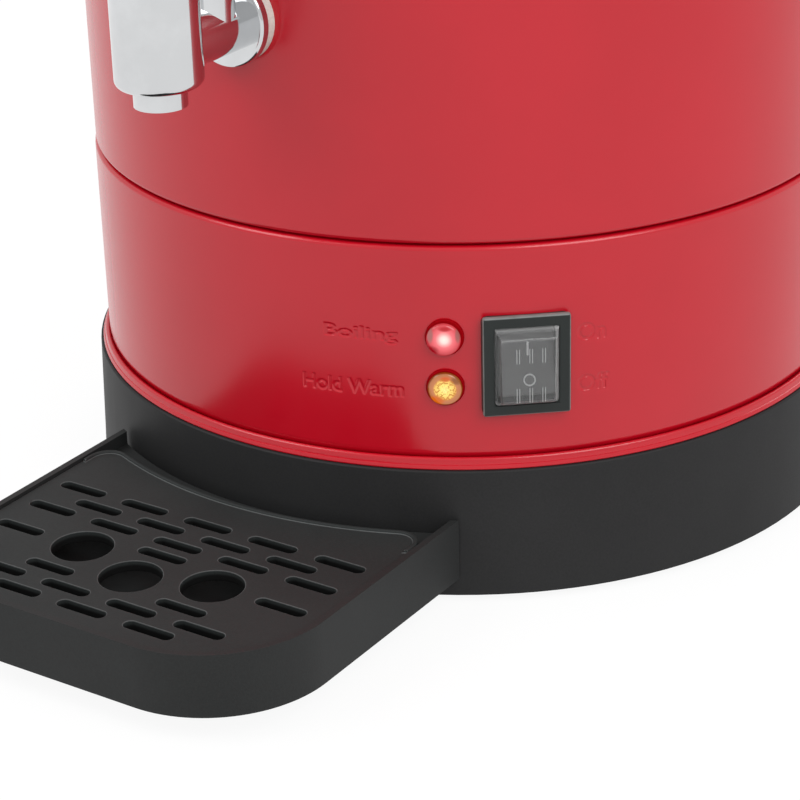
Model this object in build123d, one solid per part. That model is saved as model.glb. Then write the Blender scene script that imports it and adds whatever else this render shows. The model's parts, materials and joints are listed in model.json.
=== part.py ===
"""A ten-litre percolator coffee urn, as the separate pieces that it is put together from.

Millimetres. +Z is up and the urn stands on z = 0 with its axis on Z. The tap, the sight gauge
and the drip tray face -Y. Places on the round body are given by their angle from the front,
positive towards +X, which is the right-hand side for someone who stands at the tap.
"""

from build123d import *
from math import asin, cos, degrees, pi, radians, sin, sqrt
import os

os.makedirs("parts", exist_ok=True)

# ---------------------------------------------------------------- driving dimensions
# Clearances
RUN = 0.05            # running fit of a pin, shaft or stem in its hole, on the radius
SKIN = 0.05           # what a seated piece stands off a curved wall
LOOSE = 0.4           # pieces that drop in or lift off, each side
ROOT = 1.0            # what is joined to a body starts this far inside it
THROUGH = 9.0         # a hole through a round wall is cut this far to each side of it

# The round body, from its main radius, which is the upper shell's
SHELL_RADIUS = 122.0
BAND_PROUD = 0.4      # of the shell
LIP_PROUD = 2.4       # of the band
BASE_PROUD = 0.8      # of the lip, at the drum's upper edge
FLANGE_WIDTH = 11.0   # of the band's and the shell's turned-in flanges
TANK_SPACE = 11.0     # between the shell's and the tank's outsides

# Base drum and its floor
FOOT_OUT = 2.0        # the rubber feet stand out below the drum by this much
BASE_HEIGHT = 41.1
BASE_TAPER = 1.3      # the drum is narrower by this much at its top
BASE_WALL = 2.5
BASE_ROUND = 0.6
DECK_THICK = 2.5
DECK_WIDTH = 41.6     # of the ring that the band stands on
SPIGOT_HEIGHT = 3.0
SPIGOT_THICK = 2.2
FLOOR_PLATE_THICK = 2.0
FLOOR_PLATE_UP = 2.0  # the floor plate lies this far above the drum's lower edge
BOSS_IN = 22.9        # from the drum's lower edge to the middle of a screw boss
BOSS_RADIUS = 5.0
BASE_SCREW_RADIUS = 1.5
BASE_SCREW_LENGTH = 12.0
BASE_HEAD_RADIUS = 3.6
BASE_HEAD_HEIGHT = 1.6
CROSS_LENGTH = 4.0
CROSS_WIDTH = 0.8
SCREW_END_GAP = 1.0   # a screw ends this far short of the end of its hole
FOOT_IN = 26.9        # from the drum's lower edge to the middle of a foot
FOOT_RADIUS = 9.0
FOOT_ROUND = 0.8
FOOT_PLUG_RADIUS = 3.0
BARB_PROUD = 1.2
BARB_LEAD = 1.0
BARB_HEIGHT = 3.0
VENT_COUNT = 16
VENT_CIRCLE = 62.0
VENT_LENGTH = 26.0
VENT_WIDTH = 3.0

# Red control band, pressed from sheet, with a rolled lip at its foot
SHEET = 0.8
LIP_HEIGHT = 4.5
LIP_ROUND = 1.0
LIP_HOLLOW = 1.3
BAND_HEIGHT = 70.0
BAND_SHOULDER = 3.0
GROOVE = 1.4           # the dark joint between band and upper shell
GROOVE_DEPTH = 1.6
RING_INSET = 1.0       # of the joint ring and the shell's lower flange, from the band's flange

# Upper shell, tank and rim
SHELL_HEIGHT = 323.5
SHELL_ROUND = 1.5
SHELL_TOP_FLANGE = 6.0
ELEMENT_ROOM = 31.5    # from the shell's lower edge up to the tank's floor
TANK_ROUND = 6.0
TANK_FLANGE_WIDTH = 9.6
WELL_RADIUS = 34.0
WELL_DEPTH = 6.0
WELL_ROUND = 1.5
RIM_THICK = 1.2
RIM_OVERHANG = 2.4     # inside the tank's wall
RIM_SKIRT = 10.0

# Tie rods, heat shield and heaters under the tank
TIE_IN = 17.0          # from the tank's wall to the middle of a stud
TIE_RADIUS = 2.5
TIE_END = 3.0          # of a stud below its nut
TIE_ANGLES = (80, 200, 320)
TIE_PAD_RADIUS = 7.0
TIE_PAD_THICK = 1.5
NUT_HEIGHT = 4.0
NUT_FLATS = 8.0
SHIELD_IN = 5.0        # from the tank's wall to the shield's edge
SHIELD_DROP = 24.0     # below the tank's floor
SHIELD_RIM = 5.0
SHIELD_ROUND = 2.0
WIRE_HOLE_RADIUS = 12.0
PLATE_RADIUS = 78.0
PLATE_THICK = 4.0
MAIN_COIL_RADIUS = 64.0
MAIN_COIL_THICK = 4.0
WARM_COIL_RADIUS = 47.0
WARM_COIL_THICK = 3.0
COIL_OPENING = 24.0    # degrees, between a heater's two ends
COIL_LEG = 10.0
COIL_LEG_SHARE = 0.7   # of the tube's thickness
THERMOSTAT_RADIUS = 8.0
THERMOSTAT_HEIGHT = 4.5
THERMOSTAT_NECK = 4.0
THERMOSTAT_DROP = 9.0  # from the plate to the top of its drum
THERMOSTAT_CIRCLE = 55.5
THERMOSTAT_TAG_SPREAD = 4.0
TAG_WIDTH = 4.0
TAG_THICK = 0.8
TAG_DROP = 8.0
CUTOUT_RADIUS = 3.0
CUTOUT_LENGTH = 16.0
CUTOUT_PLACE = 56.1

# Panel in the band: rocker switch, two lamps
SWITCH_ANGLE = 39.65
SWITCH_HEIGHT = 76.2
BEZEL_WIDTH = 26.0
BEZEL_HEIGHT = 31.3
BEZEL_PROUD = 2.0
BEZEL_ROUND = 1.0
BEZEL_CORNER = 2.0
BEZEL_BACK = 4.0       # how deep it is before it is cut to the round of the band
TUB_WIDTH = 21.6
TUB_HEIGHT = 27.6
TUB_DEPTH = 15.0
TUB_WALL = 2.1
COVER_WIDTH = 19.1
COVER_HEIGHT = 24.7
COVER_PROUD = 5.2
COVER_WALL = 0.8
COVER_SEAT = 0.5       # the clear cover stands on a step this far outside the band
COVER_ROUND = 1.8
COVER_EDGE = 1.2
ROCKER_WIDTH = 16.6
ROCKER_HEIGHT = 20.4
ROCKER_PROUD = 2.2     # of its raised ends, with the rocker level
ROCKER_DISH = 1.5
ROCKER_PIVOT_DEPTH = 4.0
ROCKER_TILT = 10.0     # each way from level
ROCKER_PIN_RADIUS = 1.5
ROCKER_PIN_LENGTH = 1.0
ROCKER_SKIRT = 3.5     # below its pivot
ROCKER_LEAN = 2.5      # its ends lean in by this much towards the skirt
ROCKER_SKIRT_ROUND = 1.5
ROCKER_TIP_ROUND = 0.8
BLADE_WIDTH = 6.3
BLADE_THICK = 0.8
BLADE_LENGTH = 10.0
BLADE_ROW = 7.5
BLADE_COLUMN = 5.0
LAMP_ANGLE = 28.46
HEATING_LAMP_HEIGHT = 85.3
WARM_LAMP_HEIGHT = 69.4
LAMP_RADIUS = 4.45     # of the barrel in its hole
LAMP_FLANGE_RADIUS = 5.75
LAMP_FLANGE_THICK = 1.0
LENS_RADIUS = 4.8
LENS_PROUD = 2.8
LENS_WALL = 0.9
LENS_DEPTH = 6.0
LAMP_DEPTH = 22.0
LAMP_TAG_SPREAD = 2.2
LAMP_TAG_THICK = 0.6
LAMP_TAG_WIDTH = 3.0
LAMP_TAG_LENGTH = 6.0
BULB_RADIUS = 2.8

# Mains inlet, at the back of the band
INLET_ANGLE = 180.0
INLET_HEIGHT = 78.0
INLET_FLANGE_WIDTH = 24.0
INLET_FLANGE_HEIGHT = 50.0
INLET_FLANGE_THICK = 2.5
INLET_BODY_WIDTH = 20.0
INLET_BODY_HEIGHT = 27.4
INLET_DEPTH = 20.0
INLET_WALL = 1.6
INLET_FLOOR = 4.0
INLET_SCREW_SPACING = 40.0
INLET_SCREW_RADIUS = 1.4
INLET_HEAD_RADIUS = 2.8
INLET_HEAD_HEIGHT = 1.8
INLET_SCREW_LENGTH = 7.0
INLET_CORNER = 3.0
INLET_CUT = 5.0        # of the cup's two cut corners
SLOT_HEAD_LENGTH = 4.0
SLOT_HEAD_WIDTH = 0.7
SLOT_HEAD_DEPTH = 0.7
HEAD_ROUND = 0.8
PIN_SPACING = 14.0
PIN_OFFSET = 2.0
PIN_WIDTH = 4.0
PIN_THICK = 2.0
PIN_REACH = 13.0
PIN_TAB = 8.0
PIN_TIP = 0.5

# Terminal block and wires
BLOCK_WIDTH = 42.0
BLOCK_DEPTH = 20.0
BLOCK_HEIGHT = 14.0
BLOCK_PLACE = 52.0
BLOCK_PITCH = 10.0
BLOCK_WELL_RADIUS = 3.0
BLOCK_WELL_DEPTH = 8.0
BLOCK_ENTRY_RADIUS = 2.0
BLOCK_ENTRY_UP = 5.0
WIRE_RADIUS = 1.4
WIRE_BEND = 12.0
WIRE_BEND_SHARE = 0.4  # of the shortest run, where the bend has no room
WIRE_END_GAP = 0.5
WIRE_TAG_GAP = 1.0
WIRE_TURN = 16.0       # from the inlet's tags to where the wires go down
WIRE_SPREAD = 8.0
WIRE_FORWARD = 38.0
WIRE_RISE = 14.0

# Drip tray and its grille
TRAY_HALF_WIDTH = 64.1
TRAY_OUT = 92.1         # from the drum's lower edge to the tray's front
TRAY_CORNER = 38.0
TRAY_BOTTOM = 8.1
TRAY_RIM = 27.9
TRAY_WALL = 2.2
TRAY_GAP = 0.5
TRAY_SHELF = 23.5
TRAY_SHELF_THICK = 2.0
TRAY_SHELF_WIDTH = 9.0
TRAY_POST_RADIUS = 6.0
TRAY_POST_X = 38.0
TRAY_POST_IN = 25.0     # from the tray's front
TRAY_PAD_THICK = 2.0
TRAY_PAD_PROUD = 1.0    # round its post
TONGUE_X = 35.0
TONGUE_WIDTH = 14.0
TONGUE_THICK = 3.0
TONGUE_REACH = 14.0
TONGUE_UP = 6.0
GRILLE_SIDE_GAP = 0.5   # between the tray's wall and the grille
GRILLE_REAR_GAP = 7.4    # from the drum's lower edge to the grille's hollow back
GRILLE_CORNER = 7.0
GRILLE_THICK = 3.5
BEAD_WIDTH = 1.4
BEAD_HEIGHT = 0.8
BEAD_ROUND_SHARE = 0.42  # of its width, at each upper edge
BEAD_RUN = 6.0           # it ends this far past the grille's back corners
SLOT_LENGTH = 17.0
SLOT_WIDTH = 4.2
SLOT_PITCH_X = 24.08
SLOT_PITCH_Y = 7.35
FIRST_SLOT_OUT = 22.74  # from the drum's lower edge to the first row of slots
CUP_HOLE_RADIUS = 9.4

# Tap
TAP_ABOVE_FLOOR = 31.0
TAP_OUT = 36.0          # from the shell to the middle of the tap's barrel
SHANK_RADIUS = 8.0
SHANK_BORE = 5.0
SHANK_IN = 6.0          # how far the shank stands past the inner washer
TAP_FLANGE_RADIUS = 13.5
TAP_FLANGE_THICK = 3.0
TAP_NECK_RADIUS = 9.0
TAP_WASHER_THICK = 3.0
TAP_FLANGE_ROUND = 1.0
TAP_WASHER_INSET = 0.5
TANK_WASHER_INSET = 1.0
TANK_WASHER_THICK = 2.5
BARREL_RADIUS = 12.5
BARREL_ROUND = 2.5
BARREL_UP = 20.0
BARREL_DOWN = 10.5
CHAMBER_RADIUS = 9.5
SEAT_DOWN = 8.0
OUTLET_RADIUS = 5.2
NOZZLE_RADIUS = 7.6
NOZZLE_DOWN = 16.0
BONNET_RADIUS = 13.5
BONNET_HEIGHT = 8.0
BONNET_PLUG = 4.0
BONNET_ROUND = 1.5
STEM_RADIUS = 2.5
STEM_ABOVE_PIN = 3.5
CUP_RADIUS = 8.0
CUP_HEIGHT = 10.0
CUP_POCKET = 3.0
CUP_BEVEL = 1.0
SPRING_RADIUS = 5.6
SPRING_WIRE = 0.5
SPRING_TURNS = 4
PIN_ABOVE_BONNET = 6.0
LEVER_PIN_RADIUS = 1.5
LEVER_WIDTH = 16.0
LEVER_HEEL = 4.0
LEVER_SLOT = 5.8
LEVER_LEAN = 22.0
LEVER_LENGTH = 50.0
LEVER_THICK = 7.0
LEVER_PADDLE_WIDTH = 20.0
PADDLE_ROUND = 8.0
PADDLE_SHARE = 0.76     # of the lever's length
HEEL_HEIGHT = 12.0      # above the pin, at the back
HEEL_FRONT = 10.0
HEEL_BACK_LEAN = 2.0
HEEL_NOSE = 1.0
HEEL_NOSE_UP = 2.0
LEVER_FOOT_UP = 6.0     # from the pin to where the arm starts
TANK_NUT_FLATS = 24.0
TANK_NUT_THICK = 4.0

# Sight gauge
GAUGE_OUT = 14.0        # from the shell to the gauge's axis
GLASS_RADIUS = 5.0
GLASS_WALL = 1.0
GLASS_LENGTH = 214.0
SOCKET_RADIUS = 6.2
SOCKET_DEPTH = 8.0
BRANCH_RADIUS = 8.5
BRANCH_UP = 16.0
SEAL_HEIGHT = 4.0
GAUGE_CAP_HEIGHT = 16.0
GUARD_HALF_WIDTH = 10.4
GUARD_DEPTH = 20.0
GUARD_WALL = 1.2
GUARD_FROM_BRANCH = 5.0
GUARD_SKIN = 0.25       # between guard and shell at the guard's middle line
GAUGE_SCREW_RADIUS = 1.9
GAUGE_HEAD_RADIUS = 3.4
GAUGE_HEAD_HEIGHT = 1.8
GAUGE_SCREW_REACH = 6.0
GAUGE_SCREW_UP = 12.0   # from the guard's lower end to its lower screw
GAUGE_SCREW_DOWN = 26.0 # from the guard's upper end to its upper screw
GAUGE_CAP_ROUND = 1.5
BREATHER_RADIUS = 1.2
SEAL_INSET = 1.0

# Side handles
HANDLE_BELOW_TOP = 84.0
HANDLE_OUT = 38.0       # from the shell to the outside of the grip
HANDLE_SPAN = 88.0      # between the middles of the two feet
HANDLE_HIGH = 17.0
HANDLE_DEEP = 14.0
HANDLE_ROUND = 6.0
HANDLE_BEND = 15.0
HANDLE_SCREW_RADIUS = 2.0
HANDLE_SCREW_LENGTH = 14.0
HANDLE_SCREW_HEAD_RADIUS = 4.0
HANDLE_SCREW_HEAD = 2.0
HANDLE_FOOT_IN = 6.0    # how far a foot is drawn inside the shell before it is cut

# Lid
LID_IN = 4.6            # from the rim's outside to the lid's edge
LID_EDGE_WIDTH = 19.0   # of the flat round the dome
LID_EDGE_LAP = 3.0      # of the flat under the dome
LID_DOME_HEIGHT = 28.0
LID_SKIRT = 10.0
LID_SKIRT_GAP = 0.6
KNOB_HEIGHT = 30.0
KNOB_RADIUS = 20.0
KNOB_NECK_RADIUS = 9.0
KNOB_BASE_RADIUS = 13.0
KNOB_SCREW_RADIUS = 2.0
KNOB_SCREW_REACH = 12.0
KNOB_SCREW_HEAD_RADIUS = 5.0
KNOB_SCREW_HEAD = 2.2
KNOB_SINK = 1.5         # its foot starts this far below the dome's top
KNOB_BASE_HEIGHT = 4.0
KNOB_WAIST_BOTTOM = 7.0
KNOB_WAIST_TOP = 15.0
KNOB_BRIM = 20.0
KNOB_TAPER = 1.5
KNOB_TOP_ROUND = 5.0

# Percolator pump and basket
PERK_FOOT_RADIUS = 31.0
PERK_FOOT_WALL = 1.2
PERK_FOOT_HEIGHT = 14.0
PERK_SOCKET = 16.0
PERK_FOOT_EDGE = 3.0
PERK_NOTCH_WIDTH = 8.0
PERK_NOTCH_HEIGHT = 1.8
PERK_GAP = 0.2          # between the foot and the well's floor
TUBE_RADIUS = 5.0
TUBE_WALL = 0.8
TUBE_TOP_BELOW_RIM = 15.0
VALVE_RADIUS = 14.0
VALVE_THICK = 1.0
BASKET_RADIUS = 52.0
BASKET_HEIGHT = 62.0
BASKET_BELOW_RIM = 105.0
BASKET_WALL = 0.8
BASKET_SLEEVE = 7.0
BASKET_SLEEVE_UP = 5.0
BASKET_ROUND = 2.0
COLLAR_RADIUS = 7.5
COLLAR_HEIGHT = 2.0
PERFORATION = 1.1
PERFORATION_PITCH = 9.0
PERFORATION_RINGS = 8.0
PERFORATION_START = 15.0
PERFORATION_EDGE = 4.0
SPREADER_SKIRT = 6.0
SPREADER_ROUND = 1.0

# ---------------------------------------------------------------- radii, heights and places that follow
BAND_RADIUS = SHELL_RADIUS + BAND_PROUD
LIP_RADIUS = BAND_RADIUS + LIP_PROUD
BASE_TOP_RADIUS = LIP_RADIUS + BASE_PROUD
BASE_RADIUS = BASE_TOP_RADIUS + BASE_TAPER   # at the lower edge
FLANGE_RADIUS = SHELL_RADIUS - FLANGE_WIDTH  # where the band's turned-in flanges end
RING_RADIUS = FLANGE_RADIUS + RING_INSET
TANK_RADIUS = SHELL_RADIUS - TANK_SPACE
TANK_FLANGE_RADIUS = TANK_RADIUS + TANK_FLANGE_WIDTH
RIM_RADIUS = SHELL_RADIUS + RIM_THICK + LOOSE
RIM_INNER_RADIUS = TANK_RADIUS - RIM_OVERHANG
LID_RADIUS = RIM_RADIUS - LID_IN
LID_DOME_RADIUS = LID_RADIUS - LID_EDGE_WIDTH
DECK_HOLE_RADIUS = BASE_TOP_RADIUS - DECK_WIDTH
BOSS_CIRCLE = BASE_RADIUS - BOSS_IN
FOOT_CIRCLE = BASE_RADIUS - FOOT_IN
TIE_CIRCLE = TANK_RADIUS - TIE_IN
SHIELD_RADIUS = TANK_RADIUS - SHIELD_IN
TRAY_REACH = BASE_RADIUS + TRAY_OUT
TRAY_POST_Y = TRAY_REACH - TRAY_POST_IN
GRILLE_REAR_RADIUS = BASE_RADIUS + GRILLE_REAR_GAP
GRILLE_TOP = TRAY_SHELF + GRILLE_THICK
FIRST_SLOT_ROW = BASE_RADIUS + FIRST_SLOT_OUT
BASE_BOTTOM = FOOT_OUT
BASE_TOP = BASE_BOTTOM + BASE_HEIGHT
BASE_TOP_RADIUS = BASE_RADIUS - BASE_TAPER
PLATE_BOTTOM = BASE_BOTTOM + FLOOR_PLATE_UP
PLATE_TOP = PLATE_BOTTOM + FLOOR_PLATE_THICK
DECK_BOTTOM = BASE_TOP - DECK_THICK
BAND_TOP = BASE_TOP + BAND_HEIGHT
SHELL_BOTTOM = BAND_TOP + GROOVE
SHELL_TOP = SHELL_BOTTOM + SHELL_HEIGHT
TANK_BOTTOM = SHELL_BOTTOM + ELEMENT_ROOM
WELL_FLOOR = TANK_BOTTOM - WELL_DEPTH + SHEET
RIM_BOTTOM = SHELL_TOP + SHEET
RIM_TOP = RIM_BOTTOM + RIM_THICK
SHIELD_BOTTOM = TANK_BOTTOM - SHIELD_DROP
COIL_TOP = TANK_BOTTOM - PLATE_THICK
TAP_HEIGHT = TANK_BOTTOM + TAP_ABOVE_FLOOR
TAP_Y = -(SHELL_RADIUS + TAP_OUT)
GAUGE_Y = -(SHELL_RADIUS + GAUGE_OUT)
SEAT_HEIGHT = TAP_HEIGHT - SEAT_DOWN
BARREL_TOP = TAP_HEIGHT + BARREL_UP
BONNET_TOP = BARREL_TOP + BONNET_HEIGHT
LEVER_PIN_HEIGHT = BONNET_TOP + PIN_ABOVE_BONNET
CUP_TOP = SEAT_HEIGHT + CUP_HEIGHT
BRANCH_TOP = TAP_HEIGHT + BRANCH_UP
GLASS_BOTTOM = BRANCH_TOP - SOCKET_DEPTH
GLASS_TOP = GLASS_BOTTOM + GLASS_LENGTH
GAUGE_CAP_TOP = GLASS_TOP - SOCKET_DEPTH + GAUGE_CAP_HEIGHT
HANDLE_Z = SHELL_TOP - HANDLE_BELOW_TOP
LID_BOTTOM = RIM_TOP
DOME_SPHERE = (LID_DOME_RADIUS**2 + LID_DOME_HEIGHT**2) / (2 * LID_DOME_HEIGHT)
DOME_TOP = LID_BOTTOM + SHEET + LID_DOME_HEIGHT
BASKET_BOTTOM = RIM_TOP - BASKET_BELOW_RIM
BASKET_TOP = BASKET_BOTTOM + BASKET_HEIGHT
FAR = 3 * SHELL_RADIUS  # reaches past the urn in a cut


# ---------------------------------------------------------------- shared shapes
def outline(*corners):
    """A flat face from its corners, each (x, y) or (x, y, rounding)."""
    face = make_face(Polyline(*[(c[0], c[1]) for c in corners], close=True))
    for corner in corners:
        if len(corner) == 3:
            place = Vector(corner[0], corner[1], 0)
            nearest = min(face.vertices(), key=lambda v: (Vector(*v) - place).length)
            face = fillet(nearest, corner[2])
    return face


def turned(*corners):
    """A piece turned about the urn's axis, from (radius, height) or (radius, height, rounding)."""
    return revolve(Plane.XZ * outline(*corners), Axis.Z)


def post(radius, bottom, top, x=0.0, y=0.0):
    """An upright cylinder between two heights."""
    return Pos(x, y, bottom) * extrude(Circle(radius), top - bottom)


def pipe(radius, bore, bottom, top, x=0.0, y=0.0):
    """An upright tube between two heights."""
    return Pos(x, y, bottom) * extrude(Circle(radius) - Circle(bore), top - bottom)


def rod_y(radius, near, far, z, x=0.0):
    """A cylinder along Y, from y = near to y = far."""
    return Pos(x, near, z) * Rot(-90, 0, 0) * extrude(Circle(radius), far - near)


def rod_x(radius, left, right, y, z):
    """A cylinder along X, from x = left to x = right."""
    return Pos(left, y, z) * Rot(0, 90, 0) * extrude(Circle(radius), right - left)


def slab(x0, x1, y0, y1, z0, z1):
    """A box between two corners."""
    return Pos(x0, y0, z0) * Box(x1 - x0, y1 - y0, z1 - z0, align=(Align.MIN,) * 3)


def around(radius, angles):
    """Places (x, y) on a circle about the axis, by their angle from +X."""
    return [(radius * cos(radians(a)), radius * sin(radians(a))) for a in angles]


def hexagon(flats, bottom, height, bore, x=0.0, y=0.0):
    """An upright nut."""
    face = RegularPolygon(flats / 2, 6, major_radius=False) - Circle(bore)
    return Pos(x, y, bottom) * extrude(face, height)


def facing(angle, height, radius=BAND_RADIUS):
    """A frame on the round wall: x runs to the right, y up, z straight out."""
    a = radians(angle)
    out = Vector(sin(a), -cos(a), 0)
    right = Vector(cos(a), sin(a), 0)
    return Plane(origin=out * radius + Vector(0, 0, height), x_dir=right, z_dir=out).location


def block(width, height, low, high, rounding=0.0):
    """In a facing frame: a rectangle from depth low to depth high, with rounded corners."""
    face = RectangleRounded(width, height, rounding) if rounding else Rectangle(width, height)
    return Pos(0, 0, low) * extrude(face, high - low)


def disc(radius, low, high, x=0.0, y=0.0):
    """In a facing frame: a cylinder from depth low to depth high."""
    return Pos(x, y, low) * extrude(Circle(radius), high - low)


def wall_cylinder(radius):
    """A solid cylinder about the urn's axis, to cut or keep by."""
    return post(radius, -FAR, 2 * FAR)


# ---------------------------------------------------------------- base
BOSSES = around(BOSS_CIRCLE, (0, 90, 180, 270))
FEET = around(FOOT_CIRCLE, (45, 135, 225, 315))
TIES = around(TIE_CIRCLE, TIE_ANGLES)
TRAY_REAR_RADIUS = BASE_RADIUS + TRAY_GAP
TONGUE_LOW = TRAY_BOTTOM + TONGUE_UP


def base_housing():
    """The black drum with its deck, the spigot that centres the band, and four screw bosses."""
    drum = turned(
        (BASE_RADIUS, BASE_BOTTOM),
        (BASE_TOP_RADIUS, BASE_TOP, BASE_ROUND),
        (DECK_HOLE_RADIUS, BASE_TOP),
        (DECK_HOLE_RADIUS, DECK_BOTTOM),
        (BASE_TOP_RADIUS - BASE_WALL, DECK_BOTTOM),
        (BASE_RADIUS - BASE_WALL, BASE_BOTTOM),
    )
    spigot_radius = FLANGE_RADIUS - LOOSE
    drum += pipe(spigot_radius, spigot_radius - SPIGOT_THICK, BASE_TOP - ROOT, BASE_TOP + SPIGOT_HEIGHT)
    for x, y in BOSSES:
        drum += post(BOSS_RADIUS, PLATE_TOP, DECK_BOTTOM + ROOT, x, y)
    for x, y in BOSSES:
        drum -= post(BASE_SCREW_RADIUS, PLATE_TOP, PLATE_TOP + BASE_SCREW_LENGTH, x, y)
    for x, y in TIES:
        drum -= post(TIE_RADIUS + LOOSE, DECK_BOTTOM - ROOT, BASE_TOP + ROOT, x, y)
    for side in (-1, 1):
        half = TONGUE_WIDTH / 2 + LOOSE
        slot_z = (TONGUE_LOW - LOOSE, TONGUE_LOW + TONGUE_THICK + LOOSE)
        near_wall = -sqrt(BASE_RADIUS**2 - TONGUE_X**2)
        slot_y = (near_wall - THROUGH, near_wall + THROUGH)
        drum -= slab(side * TONGUE_X - half, side * TONGUE_X + half, *slot_y, *slot_z)
    return drum


def base_plate():
    """The floor plate, with vents, screw holes and the holes that hold the feet."""
    radius = BASE_RADIUS - BASE_WALL - BASE_TAPER * FLOOR_PLATE_UP * 2 / BASE_HEIGHT - LOOSE
    plate = post(radius, PLATE_BOTTOM, PLATE_TOP)
    slot = extrude(SlotOverall(VENT_LENGTH, VENT_WIDTH), FLOOR_PLATE_THICK)
    for turn in range(VENT_COUNT):
        angle = (turn + 0.5) * 360 / VENT_COUNT
        plate -= Pos(0, 0, PLATE_BOTTOM) * Rot(0, 0, angle) * Pos(VENT_CIRCLE, 0, 0) * slot
    for x, y in BOSSES:
        plate -= post(BASE_SCREW_RADIUS + LOOSE, PLATE_BOTTOM, PLATE_TOP, x, y)
    for x, y in FEET:
        plate -= post(FOOT_PLUG_RADIUS + RUN, PLATE_BOTTOM, PLATE_TOP, x, y)
    return plate


def base_screws():
    """Four screws with low heads, up through the floor plate into the bosses."""
    head_bottom = PLATE_BOTTOM - BASE_HEAD_HEIGHT
    cross_heights = (head_bottom, head_bottom + BASE_HEAD_HEIGHT / 2)
    long, wide = CROSS_LENGTH / 2, CROSS_WIDTH / 2
    shank_radius = BASE_SCREW_RADIUS - RUN
    screws = []
    for x, y in BOSSES:
        head = post(BASE_HEAD_RADIUS, head_bottom, PLATE_BOTTOM, x, y)
        cross = slab(x - long, x + long, y - wide, y + wide, *cross_heights)
        cross += slab(x - wide, x + wide, y - long, y + long, *cross_heights)
        shank_top = PLATE_TOP + BASE_SCREW_LENGTH - SCREW_END_GAP
        screws.append(head - cross + post(shank_radius, PLATE_BOTTOM, shank_top, x, y))
    return screws


def base_feet():
    """Four rubber feet, each with a plug and a barb that holds it in the floor plate."""
    feet = []
    for x, y in FEET:
        pad = post(FOOT_RADIUS, 0, PLATE_BOTTOM, x, y)
        pad = fillet(pad.edges().group_by(Axis.Z)[0], FOOT_ROUND)
        plug = post(FOOT_PLUG_RADIUS, PLATE_BOTTOM, PLATE_TOP, x, y)
        barb = Pos(x, y, PLATE_TOP) * Cone(
            FOOT_PLUG_RADIUS + BARB_PROUD,
            FOOT_PLUG_RADIUS - BARB_LEAD,
            BARB_HEIGHT,
            align=(Align.CENTER, Align.CENTER, Align.MIN),
        )
        feet.append(pad + plug + barb)
    return feet


# ---------------------------------------------------------------- control band
SWITCH = facing(SWITCH_ANGLE, SWITCH_HEIGHT)
INLET = facing(INLET_ANGLE, INLET_HEIGHT)
LAMPS = [facing(LAMP_ANGLE, z) for z in (HEATING_LAMP_HEIGHT, WARM_LAMP_HEIGHT)]
INLET_SCREWS = (-INLET_SCREW_SPACING / 2, INLET_SCREW_SPACING / 2)


def control_band():
    """The red band: one pressed sheet with a lip, a rounded shoulder and two flanges."""
    inner = BAND_RADIUS - SHEET
    lip_top = BASE_TOP + LIP_HEIGHT
    band = turned(
        (FLANGE_RADIUS, BASE_TOP),
        (LIP_RADIUS, BASE_TOP, LIP_ROUND),
        (LIP_RADIUS, lip_top, LIP_ROUND),
        (BAND_RADIUS, lip_top, LIP_HOLLOW),
        (BAND_RADIUS, BAND_TOP, BAND_SHOULDER),
        (FLANGE_RADIUS, BAND_TOP),
        (FLANGE_RADIUS, BAND_TOP - SHEET),
        (inner, BAND_TOP - SHEET, BAND_SHOULDER - SHEET),
        (inner, lip_top - SHEET),
        (LIP_RADIUS - SHEET, lip_top - SHEET),
        (LIP_RADIUS - SHEET, BASE_TOP + SHEET),
        (FLANGE_RADIUS, BASE_TOP + SHEET),
    )
    band -= SWITCH * block(TUB_WIDTH + LOOSE, TUB_HEIGHT + LOOSE, -THROUGH, THROUGH)
    for lamp in LAMPS:
        band -= lamp * disc(LAMP_RADIUS + RUN, -THROUGH, THROUGH)
    band -= INLET * block(INLET_BODY_WIDTH + LOOSE, INLET_BODY_HEIGHT + LOOSE, -THROUGH, THROUGH)
    for y in INLET_SCREWS:
        band -= INLET * disc(INLET_SCREW_RADIUS + RUN, -THROUGH, THROUGH, 0, y)
    return band


def joint_ring():
    """The black spacer that shows as a dark groove between band and upper shell."""
    return pipe(SHELL_RADIUS - GROOVE_DEPTH, RING_RADIUS, BAND_TOP, SHELL_BOTTOM)


# ---------------------------------------------------------------- rocker switch
POCKET_WIDTH = TUB_WIDTH - 2 * TUB_WALL
POCKET_HEIGHT = TUB_HEIGHT - 2 * TUB_WALL
BLADE_ROWS = (-BLADE_ROW, 0.0, BLADE_ROW)
BLADE_COLUMNS = (-BLADE_COLUMN, BLADE_COLUMN)


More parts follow.
